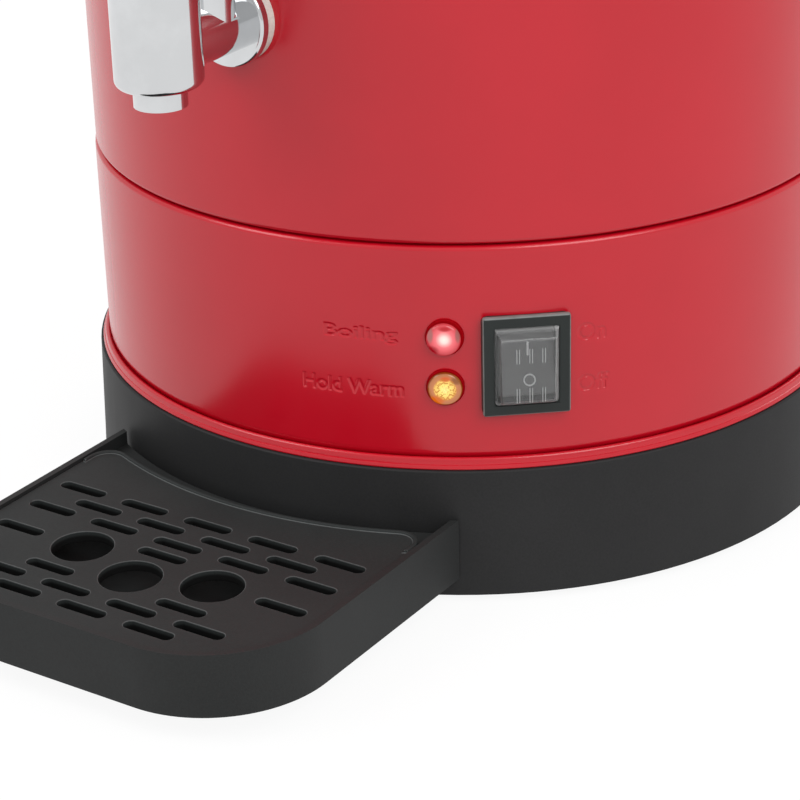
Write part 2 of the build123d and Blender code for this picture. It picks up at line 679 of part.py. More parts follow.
def switch_body():
    """The switch housing: a bezel that lies on the round band and a tub that reaches inside."""
    bezel = block(BEZEL_WIDTH, BEZEL_HEIGHT, -BEZEL_BACK, BEZEL_PROUD, BEZEL_CORNER)
    bezel = fillet(bezel.edges().group_by(Axis.Z)[-1], BEZEL_ROUND)
    bezel = (SWITCH * bezel) - wall_cylinder(BAND_RADIUS + SKIN)
    body = bezel + SWITCH * block(TUB_WIDTH, TUB_HEIGHT, -TUB_DEPTH, BEZEL_PROUD / 2)
    window = (COVER_WIDTH + LOOSE, COVER_HEIGHT + LOOSE, COVER_SEAT, BEZEL_PROUD + ROOT, COVER_ROUND)
    body -= SWITCH * block(*window)
    body -= SWITCH * block(POCKET_WIDTH, POCKET_HEIGHT, TUB_WALL - TUB_DEPTH, COVER_SEAT)
    reach = POCKET_WIDTH / 2 + ROCKER_PIN_LENGTH + RUN
    socket = rod_x(ROCKER_PIN_RADIUS + RUN, -reach, reach, 0, -ROCKER_PIVOT_DEPTH)
    body -= SWITCH * socket
    for x in BLADE_COLUMNS:
        for y in BLADE_ROWS:
            hole = Pos(x, y, 0) * block(BLADE_WIDTH, BLADE_THICK, -TUB_DEPTH, TUB_WALL - TUB_DEPTH)
            body -= SWITCH * hole
    return body


def switch_rocker():
    """The rocker, made level about its pivot and then tipped to ON, with its upper end pressed."""
    half = ROCKER_HEIGHT / 2
    low = -ROCKER_PIVOT_DEPTH - ROCKER_SKIRT
    face = outline(
        (-half, ROCKER_PROUD, ROCKER_TIP_ROUND),
        (0, ROCKER_PROUD - ROCKER_DISH),
        (half, ROCKER_PROUD, ROCKER_TIP_ROUND),
        (half - ROCKER_LEAN, low, ROCKER_SKIRT_ROUND),
        (ROCKER_LEAN - half, low, ROCKER_SKIRT_ROUND),
    )
    rocker = extrude(Plane.YZ * face, ROCKER_WIDTH / 2, both=True)
    reach = POCKET_WIDTH / 2 + ROCKER_PIN_LENGTH
    rocker += rod_x(ROCKER_PIN_RADIUS, -reach, reach, 0, -ROCKER_PIVOT_DEPTH)
    pivot = Pos(0, 0, -ROCKER_PIVOT_DEPTH)
    return SWITCH * pivot * Rot(-ROCKER_TILT, 0, 0) * pivot.inverse() * rocker


def switch_cover():
    """The clear splash cover over the rocker, open at its back."""
    cover = block(COVER_WIDTH, COVER_HEIGHT, COVER_SEAT, COVER_PROUD, COVER_ROUND)
    cover = fillet(cover.edges().group_by(Axis.Z)[-1], COVER_EDGE)
    inside = block(
        COVER_WIDTH - 2 * COVER_WALL,
        COVER_HEIGHT - 2 * COVER_WALL,
        COVER_SEAT,
        COVER_PROUD - COVER_WALL,
        COVER_ROUND - COVER_WALL,
    )
    return SWITCH * (cover - inside)


def switch_terminals():
    """Six brass blades through the back of the switch."""
    blade = block(BLADE_WIDTH, BLADE_THICK, -TUB_DEPTH - BLADE_LENGTH, TUB_WALL - TUB_DEPTH)
    return [SWITCH * Pos(x, y, 0) * blade for x in BLADE_COLUMNS for y in BLADE_ROWS]


# ---------------------------------------------------------------- indicator lamps
FLANGE_SEAT = BAND_RADIUS - sqrt(BAND_RADIUS**2 - LAMP_FLANGE_RADIUS**2)


def lamp_lens(place):
    """A lens with its flange: a domed cap whose barrel goes through the band."""
    flange_top = FLANGE_SEAT + LAMP_FLANGE_THICK
    rise = LENS_PROUD - flange_top
    sphere = (LENS_RADIUS**2 + rise**2) / (2 * rise)
    half_turn = asin(LENS_RADIUS / sphere) / 2
    halfway = (sphere * sin(half_turn), LENS_PROUD - sphere * (1 - cos(half_turn)))
    outer = make_face(
        Polyline(
            (0, LENS_PROUD),
            (0, -LENS_DEPTH),
            (LAMP_RADIUS, -LENS_DEPTH),
            (LAMP_RADIUS, FLANGE_SEAT),
            (LAMP_FLANGE_RADIUS, FLANGE_SEAT),
            (LAMP_FLANGE_RADIUS, flange_top),
            (LENS_RADIUS, flange_top),
        )
        + ThreePointArc((LENS_RADIUS, flange_top), halfway, (0, LENS_PROUD))
    )
    lens = revolve(Plane.XZ * outer, Axis.Z)
    lens -= disc(LAMP_RADIUS - LENS_WALL, -LENS_DEPTH, flange_top)
    return place * lens


def lamp_holders():
    """The two lamp barrels behind the lenses, with their solder tags."""
    holder = disc(LAMP_RADIUS, -LAMP_DEPTH, -LENS_DEPTH)
    for x in (-LAMP_TAG_SPREAD, LAMP_TAG_SPREAD):
        tag = block(LAMP_TAG_THICK, LAMP_TAG_WIDTH, -LAMP_DEPTH - LAMP_TAG_LENGTH, ROOT - LAMP_DEPTH)
        holder += Pos(x, 0, 0) * tag
    return [place * holder for place in LAMPS]


def lamp_bulbs():
    """The two small glow bulbs that stand inside the lenses."""
    bulb = disc(BULB_RADIUS, -LENS_DEPTH, 0)
    bulb = fillet(bulb.edges().group_by(Axis.Z)[-1], BULB_RADIUS * 0.9)
    return [place * bulb for place in LAMPS]


# ---------------------------------------------------------------- mains inlet and terminal block
PINS = ((-PIN_OFFSET, -PIN_SPACING / 2), (-PIN_OFFSET, PIN_SPACING / 2), (PIN_OFFSET, 0.0))
PIN_FLOOR = INLET_FLOOR - INLET_DEPTH


def power_inlet():
    """The appliance inlet: a flange on the band and an open cup with two cut corners."""
    half_width = INLET_BODY_WIDTH / 2
    half_height = INLET_BODY_HEIGHT / 2

    def cup(wall, low, high):
        w = half_width - wall
        h = half_height - wall
        side = w - INLET_CUT
        end = h - INLET_CUT
        face = outline((-w, -h), (side, -h), (w, -end), (w, end), (side, h), (-w, h))
        return Pos(0, 0, low) * extrude(face, high - low)

    back = -THROUGH
    flange = block(INLET_FLANGE_WIDTH, INLET_FLANGE_HEIGHT, back, INLET_FLANGE_THICK, INLET_CORNER)
    for y in INLET_SCREWS:
        flange -= disc(INLET_SCREW_RADIUS + LOOSE, back, INLET_FLANGE_THICK, 0, y)
    body = INLET * flange - wall_cylinder(BAND_RADIUS + SKIN)
    body += INLET * cup(0, -INLET_DEPTH, INLET_FLANGE_THICK / 2)
    body -= INLET * cup(INLET_WALL, PIN_FLOOR, INLET_FLANGE_THICK + ROOT)
    for x, y in PINS:
        body -= INLET * Pos(x, y, 0) * block(PIN_THICK, PIN_WIDTH, -INLET_DEPTH, PIN_FLOOR)
    return body


def inlet_pins():
    """Three contact pins that go on through the back as tabs."""
    top = PIN_FLOOR + PIN_REACH
    pin = block(PIN_THICK, PIN_WIDTH, -INLET_DEPTH - PIN_TAB, top)
    pin = chamfer(pin.edges().group_by(Axis.Z)[-1], PIN_TIP)
    return [INLET * Pos(x, y, 0) * pin for x, y in PINS]


def inlet_screws():
    """Two screws that hold the inlet's flange to the band."""
    head_top = INLET_FLANGE_THICK + INLET_HEAD_HEIGHT
    screw = disc(INLET_HEAD_RADIUS, INLET_FLANGE_THICK, head_top)
    screw = fillet(screw.edges().group_by(Axis.Z)[-1], HEAD_ROUND)
    screw += disc(INLET_SCREW_RADIUS, -INLET_SCREW_LENGTH, INLET_FLANGE_THICK)
    slot = Pos(0, 0, head_top) * Box(SLOT_HEAD_LENGTH, SLOT_HEAD_WIDTH, 2 * SLOT_HEAD_DEPTH)
    return [INLET * Pos(0, y, 0) * (screw - slot) for y in INLET_SCREWS]


def terminal_block():
    """The terminal block on the floor plate, with a screw well for each wire."""
    low, high = PLATE_TOP, PLATE_TOP + BLOCK_HEIGHT
    body = slab(-BLOCK_WIDTH / 2, BLOCK_WIDTH / 2, 0, BLOCK_DEPTH, low, high)
    entry = low + BLOCK_ENTRY_UP
    for step in (-1.5, -0.5, 0.5, 1.5):
        x = step * BLOCK_PITCH
        body -= post(BLOCK_WELL_RADIUS, high - BLOCK_WELL_DEPTH, high, x, BLOCK_DEPTH / 2)
        body -= rod_y(BLOCK_ENTRY_RADIUS, 0, BLOCK_ENTRY_UP, entry, x)
        body -= rod_y(BLOCK_ENTRY_RADIUS, BLOCK_DEPTH - BLOCK_ENTRY_UP, BLOCK_DEPTH, entry, x)
    return Pos(0, BLOCK_PLACE - BLOCK_DEPTH / 2, 0) * body


def wire(*points):
    """One insulated wire, round bends between straight runs."""
    runs = [(Vector(*b) - Vector(*a)).length for a, b in zip(points, points[1:])]
    bend = min(WIRE_BEND, WIRE_BEND_SHARE * min(runs))
    path = FilletPolyline(*points, radius=bend)
    start = Plane(origin=path @ 0, z_dir=path % 0)
    return sweep(start * Circle(WIRE_RADIUS), path=path)


def wiring():
    """The wires: inlet to block, and block to switch and heaters, all ending at their tags."""
    back = BAND_RADIUS - INLET_DEPTH - PIN_TAB - WIRE_TAG_GAP
    down = back - WIRE_TURN
    rear = BLOCK_PLACE + BLOCK_DEPTH / 2 + WIRE_END_GAP
    front = BLOCK_PLACE - BLOCK_DEPTH / 2 - WIRE_END_GAP
    entry = PLATE_TOP + BLOCK_ENTRY_UP
    half = BLOCK_PITCH / 2
    wires = []
    for x, tab_x, tab_z in (
        (-half, -half, INLET_HEIGHT - PIN_SPACING / 2),
        (half, half, INLET_HEIGHT + PIN_SPACING / 2),
        (-3 * half, -PIN_OFFSET, INLET_HEIGHT),
    ):
        wires.append(wire((tab_x, back, tab_z), (tab_x, down, tab_z), (x, down, entry), (x, rear, entry)))
    tag = (SWITCH * Location((0, 0, -TUB_DEPTH - BLADE_LENGTH - WIRE_TAG_GAP))).position
    for x, z in ((half, tag.Z - WIRE_SPREAD), (3 * half, tag.Z + WIRE_SPREAD)):
        corner = (WIRE_FORWARD + x, -BLOCK_DEPTH, z)
        wires.append(wire((x, front, entry), (x, BLOCK_PITCH, entry), corner, (tag.X, tag.Y, z)))
    middle = (BASE_TOP + SHIELD_BOTTOM) / 2 - WIRE_TURN
    top = SHIELD_BOTTOM + WIRE_RISE - WIRE_END_GAP
    wires.append(wire((-half, front, entry), (-half, WIRE_TURN, entry), (0, 0, middle), (0, 0, top)))
    return wires


# ---------------------------------------------------------------- under the tank
def tie_rods():
    """Three studs welded to the tank's floor, which pull the whole body down on the deck."""
    low = DECK_BOTTOM - NUT_HEIGHT - TIE_END
    rods = []
    for x, y in TIES:
        rod = post(TIE_RADIUS, low, TANK_BOTTOM, x, y)
        rods.append(rod + post(TIE_PAD_RADIUS, TANK_BOTTOM - TIE_PAD_THICK, TANK_BOTTOM, x, y))
    return rods


def tie_nuts():
    """Three nuts under the deck and three under the heat shield."""
    nuts = []
    for x, y in TIES:
        for top in (DECK_BOTTOM, SHIELD_BOTTOM):
            nuts.append(hexagon(NUT_FLATS, top - NUT_HEIGHT, NUT_HEIGHT, TIE_RADIUS + RUN, x, y))
    return nuts


def heat_shield():
    """A steel dish between the heaters and the wiring."""
    shield = turned(
        (WIRE_HOLE_RADIUS, SHIELD_BOTTOM),
        (SHIELD_RADIUS, SHIELD_BOTTOM, SHIELD_ROUND),
        (SHIELD_RADIUS, SHIELD_BOTTOM + SHIELD_RIM),
        (SHIELD_RADIUS - SHEET, SHIELD_BOTTOM + SHIELD_RIM),
        (SHIELD_RADIUS - SHEET, SHIELD_BOTTOM + SHEET, SHIELD_ROUND - SHEET),
        (WIRE_HOLE_RADIUS, SHIELD_BOTTOM + SHEET),
    )
    for x, y in TIES:
        shield -= post(TIE_RADIUS + LOOSE, SHIELD_BOTTOM - ROOT, SHIELD_BOTTOM + SHEET + ROOT, x, y)
    return shield


def heating_plate():
    """The aluminium plate that spreads the heat over the tank's floor, open round the well."""
    return pipe(PLATE_RADIUS, WELL_RADIUS + LOOSE, COIL_TOP, TANK_BOTTOM)


def coil(radius, thick):
    """A tubular heater bent to an open ring under the plate, with two legs down."""
    level = COIL_TOP - thick - SKIN
    arc = CenterArc((0, 0, level), radius, COIL_OPENING / 2, 360 - COIL_OPENING)
    ring = sweep(Plane(origin=arc @ 0, z_dir=arc % 0) * Circle(thick), path=arc)
    for x, y in around(radius, (COIL_OPENING / 2, -COIL_OPENING / 2)):
        ring += post(thick * COIL_LEG_SHARE, level - COIL_LEG, level, x, y)
        ring += Pos(x, y, level) * Sphere(thick)
    return ring


def main_element():
    """The strong heater that boils."""
    return coil(MAIN_COIL_RADIUS, MAIN_COIL_THICK)


def warm_element():
    """The weak heater that keeps the coffee warm."""
    return coil(WARM_COIL_RADIUS, WARM_COIL_THICK)


def thermostats():
    """Two disc thermostats on the plate between the heaters: one ends the boil, one keeps warm."""
    drum_top = COIL_TOP - THERMOSTAT_DROP
    drum_bottom = drum_top - THERMOSTAT_HEIGHT
    thin, wide = TAG_THICK / 2, TAG_WIDTH / 2
    pair = []
    for x, y in around(THERMOSTAT_CIRCLE, (120, 240)):
        body = post(THERMOSTAT_NECK, drum_top, COIL_TOP, x, y)
        body += post(THERMOSTAT_RADIUS, drum_bottom, drum_top, x, y)
        tag_z = (drum_top - TAG_DROP, drum_bottom + ROOT / 2)
        for tag_x in (x - THERMOSTAT_TAG_SPREAD, x + THERMOSTAT_TAG_SPREAD):
            body += slab(tag_x - thin, tag_x + thin, y - wide, y + wide, *tag_z)
        pair.append(body)
    return pair


def thermal_cutout():
    """The one-shot fuse, a small barrel that lies on the underside of the plate."""
    level = COIL_TOP - CUTOUT_RADIUS - SKIN
    return rod_x(CUTOUT_RADIUS, -CUTOUT_LENGTH / 2, CUTOUT_LENGTH / 2, -CUTOUT_PLACE, level)


# ---------------------------------------------------------------- shell, tank and rim
TAP_HOLE = SHANK_RADIUS + LOOSE


def handle_screw_places():
    """The angle from the front of each of the four handle screws."""
    spread = degrees(asin(HANDLE_SPAN / 2 / SHELL_RADIUS))
    return [side * 90 + half * spread for side in (-1, 1) for half in (-1, 1)]


GUARD_BOTTOM = BRANCH_TOP + GUARD_FROM_BRANCH
GUARD_TOP = GAUGE_CAP_TOP + GUARD_WALL
GAUGE_SCREW_HEIGHTS = (GUARD_BOTTOM + GAUGE_SCREW_UP, GUARD_TOP - GAUGE_SCREW_DOWN)


def outer_shell():
    """The red upper wall, rolled in at both ends."""
    inner = SHELL_RADIUS - SHEET
    shell = turned(
        (RING_RADIUS, SHELL_BOTTOM),
        (SHELL_RADIUS, SHELL_BOTTOM, SHELL_ROUND),
        (SHELL_RADIUS, SHELL_TOP, SHELL_ROUND),
        (SHELL_RADIUS - SHELL_TOP_FLANGE, SHELL_TOP),
        (SHELL_RADIUS - SHELL_TOP_FLANGE, SHELL_TOP - SHEET),
        (inner, SHELL_TOP - SHEET, SHELL_ROUND - SHEET),
        (inner, SHELL_BOTTOM + SHEET, SHELL_ROUND - SHEET),
        (RING_RADIUS, SHELL_BOTTOM + SHEET),
    )
    shell -= rod_y(TAP_HOLE, -SHELL_RADIUS - THROUGH, -SHELL_RADIUS + THROUGH, TAP_HEIGHT)
    for angle in handle_screw_places():
        shell -= facing(angle, HANDLE_Z, SHELL_RADIUS) * disc(HANDLE_SCREW_RADIUS + RUN, -THROUGH, THROUGH)
    for z in GAUGE_SCREW_HEIGHTS:
        shell -= rod_y(GAUGE_SCREW_RADIUS + RUN, -SHELL_RADIUS - THROUGH, -SHELL_RADIUS + THROUGH, z)
    return shell


def inner_tank():
    """The steel tank: a flange on the shell, a rounded floor and the pump's well."""
    inner = TANK_RADIUS - SHEET
    tank = turned(
        (0, TANK_BOTTOM - WELL_DEPTH),
        (WELL_RADIUS, TANK_BOTTOM - WELL_DEPTH, WELL_ROUND),
        (WELL_RADIUS, TANK_BOTTOM),
        (TANK_RADIUS, TANK_BOTTOM, TANK_ROUND),
        (TANK_RADIUS, SHELL_TOP),
        (TANK_FLANGE_RADIUS, SHELL_TOP),
        (TANK_FLANGE_RADIUS, SHELL_TOP + SHEET),
        (inner, SHELL_TOP + SHEET),
        (inner, TANK_BOTTOM + SHEET, TANK_ROUND - SHEET),
        (WELL_RADIUS - SHEET, TANK_BOTTOM + SHEET),
        (WELL_RADIUS - SHEET, WELL_FLOOR),
        (0, WELL_FLOOR),
    )
    return tank - rod_y(TAP_HOLE, -TANK_RADIUS - THROUGH, -TANK_RADIUS + THROUGH, TAP_HEIGHT)


def top_rim():
    """The steel ring that caps tank and shell, with a skirt down the outside."""
    return turned(
        (RIM_INNER_RADIUS, RIM_BOTTOM),
        (RIM_RADIUS - RIM_THICK, RIM_BOTTOM),
        (RIM_RADIUS - RIM_THICK, RIM_TOP - RIM_SKIRT),
        (RIM_RADIUS, RIM_TOP - RIM_SKIRT),
        (RIM_RADIUS, RIM_TOP, RIM_THICK * 0.9),
        (RIM_INNER_RADIUS, RIM_TOP),
    )


# ---------------------------------------------------------------- handles
def handle(side):
    """A bow-shaped handle, its two feet cut to the round of the shell."""
    grip_x = SHELL_RADIUS + HANDLE_OUT - HANDLE_DEEP / 2
    half = HANDLE_SPAN / 2
    foot_x = sqrt(SHELL_RADIUS**2 - half**2) - HANDLE_FOOT_IN
    path = FilletPolyline(
        (foot_x, -half, 0), (grip_x, -half, 0), (grip_x, half, 0), (foot_x, half, 0), radius=HANDLE_BEND
    )
    section = Plane(origin=path @ 0, x_dir=(0, 0, 1), z_dir=path % 0)
    bow = sweep(section * RectangleRounded(HANDLE_HIGH, HANDLE_DEEP, HANDLE_ROUND), path=path)
    bow = Pos(0, 0, HANDLE_Z) * bow - wall_cylinder(SHELL_RADIUS + SKIN)
    for angle in handle_screw_places()[2:]:
        bow -= facing(angle, HANDLE_Z, SHELL_RADIUS) * disc(HANDLE_SCREW_RADIUS + RUN, 0, HANDLE_SCREW_LENGTH)
    return bow if side > 0 else bow.mirror(Plane.YZ)


def handle_left():
    """The handle at -X."""
    return handle(-1)


def handle_right():
    """The handle at +X."""
    return handle(1)


def handle_screws():
    """Four screws from inside the shell into the handles' feet."""
    low = -SHEET - 3 * SKIN
    screw = disc(HANDLE_SCREW_HEAD_RADIUS, low - HANDLE_SCREW_HEAD, low)
    screw += disc(HANDLE_SCREW_RADIUS, low, HANDLE_SCREW_LENGTH - SCREW_END_GAP)
    return [facing(a, HANDLE_Z, SHELL_RADIUS) * screw for a in handle_screw_places()]


# ---------------------------------------------------------------- tap
FLANGE_BACK = -SHELL_RADIUS - TAP_WASHER_THICK
FLANGE_FRONT = FLANGE_BACK - TAP_FLANGE_THICK
NUT_BACK = -(TANK_RADIUS - SHEET) + TANK_WASHER_THICK
SHANK_END = NUT_BACK + SHANK_IN


def tap_body():
    """Shank, flange, neck, barrel and nozzle in one chromed casting, with a branch for the gauge."""
    body = rod_y(SHANK_RADIUS, FLANGE_BACK - ROOT, SHANK_END, TAP_HEIGHT)
    flange = rod_y(TAP_FLANGE_RADIUS, FLANGE_FRONT, FLANGE_BACK, TAP_HEIGHT)
    body += fillet(flange.edges().group_by(Axis.Y)[0], TAP_FLANGE_ROUND)
    body += rod_y(TAP_NECK_RADIUS, TAP_Y, FLANGE_FRONT + ROOT, TAP_HEIGHT)
    barrel = post(BARREL_RADIUS, TAP_HEIGHT - BARREL_DOWN, BARREL_TOP, 0, TAP_Y)
    body += fillet(barrel.edges().group_by(Axis.Z)[0], BARREL_ROUND)
    nozzle_bottom = TAP_HEIGHT - NOZZLE_DOWN
    body += post(NOZZLE_RADIUS, nozzle_bottom, TAP_HEIGHT - BARREL_DOWN + ROOT, 0, TAP_Y)
    body += post(BRANCH_RADIUS, TAP_HEIGHT, BRANCH_TOP, 0, GAUGE_Y)
    body -= post(CHAMBER_RADIUS, SEAT_HEIGHT, BARREL_TOP, 0, TAP_Y)
    body -= post(OUTLET_RADIUS, nozzle_bottom, SEAT_HEIGHT, 0, TAP_Y)
    body -= rod_y(SHANK_BORE, TAP_Y, SHANK_END, TAP_HEIGHT)
    body -= post(GLASS_RADIUS - GLASS_WALL, TAP_HEIGHT, GLASS_BOTTOM, 0, GAUGE_Y)
    body -= post(SOCKET_RADIUS, GLASS_BOTTOM, BRANCH_TOP, 0, GAUGE_Y)
    return body


def tap_washer_outer():
    """The silicone washer between the tap's flange and the shell, cut to the round."""
    far = -SHELL_RADIUS + TAP_WASHER_THICK
    ring = rod_y(TAP_FLANGE_RADIUS - TAP_WASHER_INSET, FLANGE_BACK, far, TAP_HEIGHT)
    ring -= rod_y(SHANK_RADIUS + RUN, FLANGE_BACK, far, TAP_HEIGHT)
    return ring - wall_cylinder(SHELL_RADIUS + SKIN)


def tap_spacer():
    """The sleeve round the shank that keeps tank and shell apart."""
    radius = TAP_FLANGE_RADIUS - TANK_WASHER_INSET
    far = -TANK_RADIUS + TAP_WASHER_THICK
    sleeve = rod_y(radius, -SHELL_RADIUS, far, TAP_HEIGHT)
    sleeve -= rod_y(SHANK_RADIUS + RUN, -SHELL_RADIUS, far, TAP_HEIGHT)
    heights = (TAP_HEIGHT - 2 * radius, TAP_HEIGHT + 2 * radius)
    wall = pipe(SHELL_RADIUS - SHEET - SKIN, TANK_RADIUS + SKIN, *heights)
    return sleeve & wall


def tap_washer_inner():
    """The silicone washer inside the tank, flat towards the nut."""
    ring = rod_y(TAP_FLANGE_RADIUS - TANK_WASHER_INSET, -TANK_RADIUS, NUT_BACK, TAP_HEIGHT)
    ring -= rod_y(SHANK_RADIUS + RUN, -TANK_RADIUS, NUT_BACK, TAP_HEIGHT)
    return ring & wall_cylinder(TANK_RADIUS - SHEET - SKIN)


def tap_nut():
    """The nut on the shank inside the tank."""
    nut = hexagon(TANK_NUT_FLATS, 0, TANK_NUT_THICK, SHANK_RADIUS + RUN)
    return Pos(0, NUT_BACK, TAP_HEIGHT) * Rot(-90, 0, 0) * nut


def tap_bonnet():
    """The cap that closes the barrel and guides the stem."""
    cap = post(BONNET_RADIUS, BARREL_TOP, BONNET_TOP, 0, TAP_Y)
    cap = fillet(cap.edges().group_by(Axis.Z)[-1], BONNET_ROUND)
    cap += post(CHAMBER_RADIUS - RUN, BARREL_TOP - BONNET_PLUG, BARREL_TOP, 0, TAP_Y)
    return cap - post(STEM_RADIUS + RUN, BARREL_TOP - BONNET_PLUG, BONNET_TOP, 0, TAP_Y)


def tap_stem():
    """The stem that carries the seat cup and hangs on the lever's pin."""
    top = LEVER_PIN_HEIGHT + STEM_ABOVE_PIN
    stem = post(STEM_RADIUS, SEAT_HEIGHT + CUP_POCKET, top, 0, TAP_Y)
    return stem - rod_x(LEVER_PIN_RADIUS, -LEVER_WIDTH, LEVER_WIDTH, TAP_Y, LEVER_PIN_HEIGHT)


def tap_seat_cup():
    """The silicone cup that closes the outlet."""
    cup = post(CUP_RADIUS, SEAT_HEIGHT + SKIN, CUP_TOP, 0, TAP_Y)
    cup = chamfer(cup.edges().group_by(Axis.Z)[0], CUP_BEVEL)
    return cup - post(STEM_RADIUS, SEAT_HEIGHT + CUP_POCKET, CUP_TOP, 0, TAP_Y)


def tap_spring():
    """The coil spring between the cup and the bonnet."""
    low = CUP_TOP + SPRING_WIRE + SKIN
    high = BARREL_TOP - BONNET_PLUG - SPRING_WIRE - SKIN
    path = Helix((high - low) / SPRING_TURNS, high - low, SPRING_RADIUS)
    start = Plane(origin=path @ 0, z_dir=path % 0)
    return Pos(0, TAP_Y, low) * sweep(start * Circle(SPRING_WIRE), path=path, is_frenet=True)


def lever_pin():
    """The cross pin through stem and lever."""
    half = LEVER_WIDTH / 2
    return rod_x(LEVER_PIN_RADIUS, -half, half, TAP_Y, LEVER_PIN_HEIGHT)


def tap_lever():
    """The black lever: a forked heel on the bonnet and a paddle that leans to the front."""
    half = LEVER_WIDTH / 2
    heel_low = SKIN - PIN_ABOVE_BONNET
    heel = outline(
        (-LEVER_HEEL, heel_low),
        (LEVER_HEEL, heel_low),
        (LEVER_HEEL + HEEL_NOSE, HEEL_NOSE_UP),
        (LEVER_HEEL, HEEL_FRONT, HEEL_NOSE_UP),
        (-LEVER_HEEL - HEEL_BACK_LEAN, HEEL_HEIGHT),
    )
    lever = extrude(Plane.YZ * heel, half, both=True)
    lean = Pos(0, -HEEL_NOSE, LEVER_FOOT_UP) * Rot(LEVER_LEAN, 0, 0)
    paddle_length = LEVER_LENGTH * PADDLE_SHARE
    arm_length = LEVER_LENGTH - PADDLE_ROUND
    arm = Pos(0, 0, arm_length / 2) * Box(LEVER_WIDTH, LEVER_THICK, arm_length)
    paddle_face = RectangleRounded(LEVER_PADDLE_WIDTH, paddle_length, PADDLE_ROUND)
    paddle = Plane.XZ * (Pos(0, LEVER_LENGTH - paddle_length / 2) * paddle_face)
    arm += extrude(paddle, LEVER_THICK / 2, both=True)
    lever += lean * arm
    slot = LEVER_SLOT / 2
    lever -= slab(-slot, slot, -LEVER_LENGTH, LEVER_LENGTH, heel_low - ROOT, STEM_ABOVE_PIN + HEEL_NOSE_UP)
    lever -= rod_x(LEVER_PIN_RADIUS + RUN, -half, half, 0, 0)
    return Pos(0, TAP_Y, LEVER_PIN_HEIGHT) * lever


# ---------------------------------------------------------------- sight gauge
def gauge_glass():
    """The glass tube."""
    return pipe(GLASS_RADIUS, GLASS_RADIUS - GLASS_WALL, GLASS_BOTTOM + SKIN, GLASS_TOP - SKIN, 0, GAUGE_Y)


def gauge_seals():
    """A rubber ring round each end of the glass."""
    rings = []
    for low in (BRANCH_TOP - SEAL_HEIGHT - SEAL_INSET, GLASS_TOP - SOCKET_DEPTH + SEAL_INSET):
        rings.append(pipe(SOCKET_RADIUS - RUN, GLASS_RADIUS + RUN, low, low + SEAL_HEIGHT, 0, GAUGE_Y))
    return rings


def gauge_cap():
    """The cap on the glass, with a breather hole."""
    low = GLASS_TOP - SOCKET_DEPTH
    cap = post(BRANCH_RADIUS, low, GAUGE_CAP_TOP, 0, GAUGE_Y)
    cap = fillet(cap.edges().group_by(Axis.Z)[-1], GAUGE_CAP_ROUND)
    cap -= post(SOCKET_RADIUS, low, GLASS_TOP, 0, GAUGE_Y)
    return cap - post(BREATHER_RADIUS, GLASS_TOP, GAUGE_CAP_TOP, 0, GAUGE_Y)


def gauge_guard():
    """The steel channel round the glass, screwed to the shell."""
    back = -SHELL_RADIUS - GUARD_SKIN
    half = GUARD_HALF_WIDTH
    guard = slab(-half, half, back - GUARD_DEPTH, back, GUARD_BOTTOM, GUARD_TOP)
    inside = half - GUARD_WALL
    guard -= slab(-inside, inside, back - GUARD_DEPTH, back - GUARD_WALL, GUARD_BOTTOM, GAUGE_CAP_TOP)
    for z in GAUGE_SCREW_HEIGHTS:
        guard -= rod_y(GAUGE_SCREW_RADIUS + LOOSE, back - GUARD_WALL - ROOT, back + ROOT, z)
    return guard


def gauge_screws():
    """Two screws that hold the channel to the shell."""
    seat = -SHELL_RADIUS - GUARD_SKIN - GUARD_WALL
    screws = []
    for z in GAUGE_SCREW_HEIGHTS:
        head = rod_y(GAUGE_HEAD_RADIUS, seat - GAUGE_HEAD_HEIGHT, seat, z)
        head = fillet(head.edges().group_by(Axis.Y)[0], HEAD_ROUND)
        screws.append(head + rod_y(GAUGE_SCREW_RADIUS, seat, -SHELL_RADIUS + GAUGE_SCREW_REACH, z))
    return screws


# ---------------------------------------------------------------- lid
def lid():
    """The domed lid, with a flat edge on the rim and a skirt inside it."""
    centre = DOME_TOP - DOME_SPHERE
    dome = Pos(0, 0, centre) * (Sphere(DOME_SPHERE) - Sphere(DOME_SPHERE - SHEET))
    dome &= post(LID_DOME_RADIUS + ROOT, LID_BOTTOM, DOME_TOP + ROOT)
    edge = pipe(LID_RADIUS, LID_DOME_RADIUS - LID_EDGE_LAP, LID_BOTTOM, LID_BOTTOM + SHEET)
    skirt_radius = RIM_INNER_RADIUS - LID_SKIRT_GAP
    skirt = pipe(skirt_radius, skirt_radius - SHEET, LID_BOTTOM - LID_SKIRT, LID_BOTTOM + SHEET / 2)
    whole = dome + edge + skirt
    return whole - post(KNOB_SCREW_RADIUS + RUN, DOME_TOP - THROUGH, DOME_TOP + THROUGH)


def lid_knob():
    """The black knob, its foot cut to the dome."""
    low = DOME_TOP - KNOB_SINK
    knob = turned(
        (0, low),
        (KNOB_BASE_RADIUS, low),
        (KNOB_BASE_RADIUS, low + KNOB_BASE_HEIGHT, KNOB_SINK),
        (KNOB_NECK_RADIUS, low + KNOB_WAIST_BOTTOM, 2.0),
        (KNOB_NECK_RADIUS, low + KNOB_WAIST_TOP, 4.0),
        (KNOB_RADIUS, low + KNOB_BRIM, 3.0),
        (KNOB_RADIUS - KNOB_TAPER, low + KNOB_HEIGHT, KNOB_TOP_ROUND),
        (0, low + KNOB_HEIGHT),
    )
    knob -= Pos(0, 0, DOME_TOP - DOME_SPHERE) * Sphere(DOME_SPHERE + SKIN)
    return knob - post(KNOB_SCREW_RADIUS, low, DOME_TOP + KNOB_SCREW_REACH + SCREW_END_GAP)


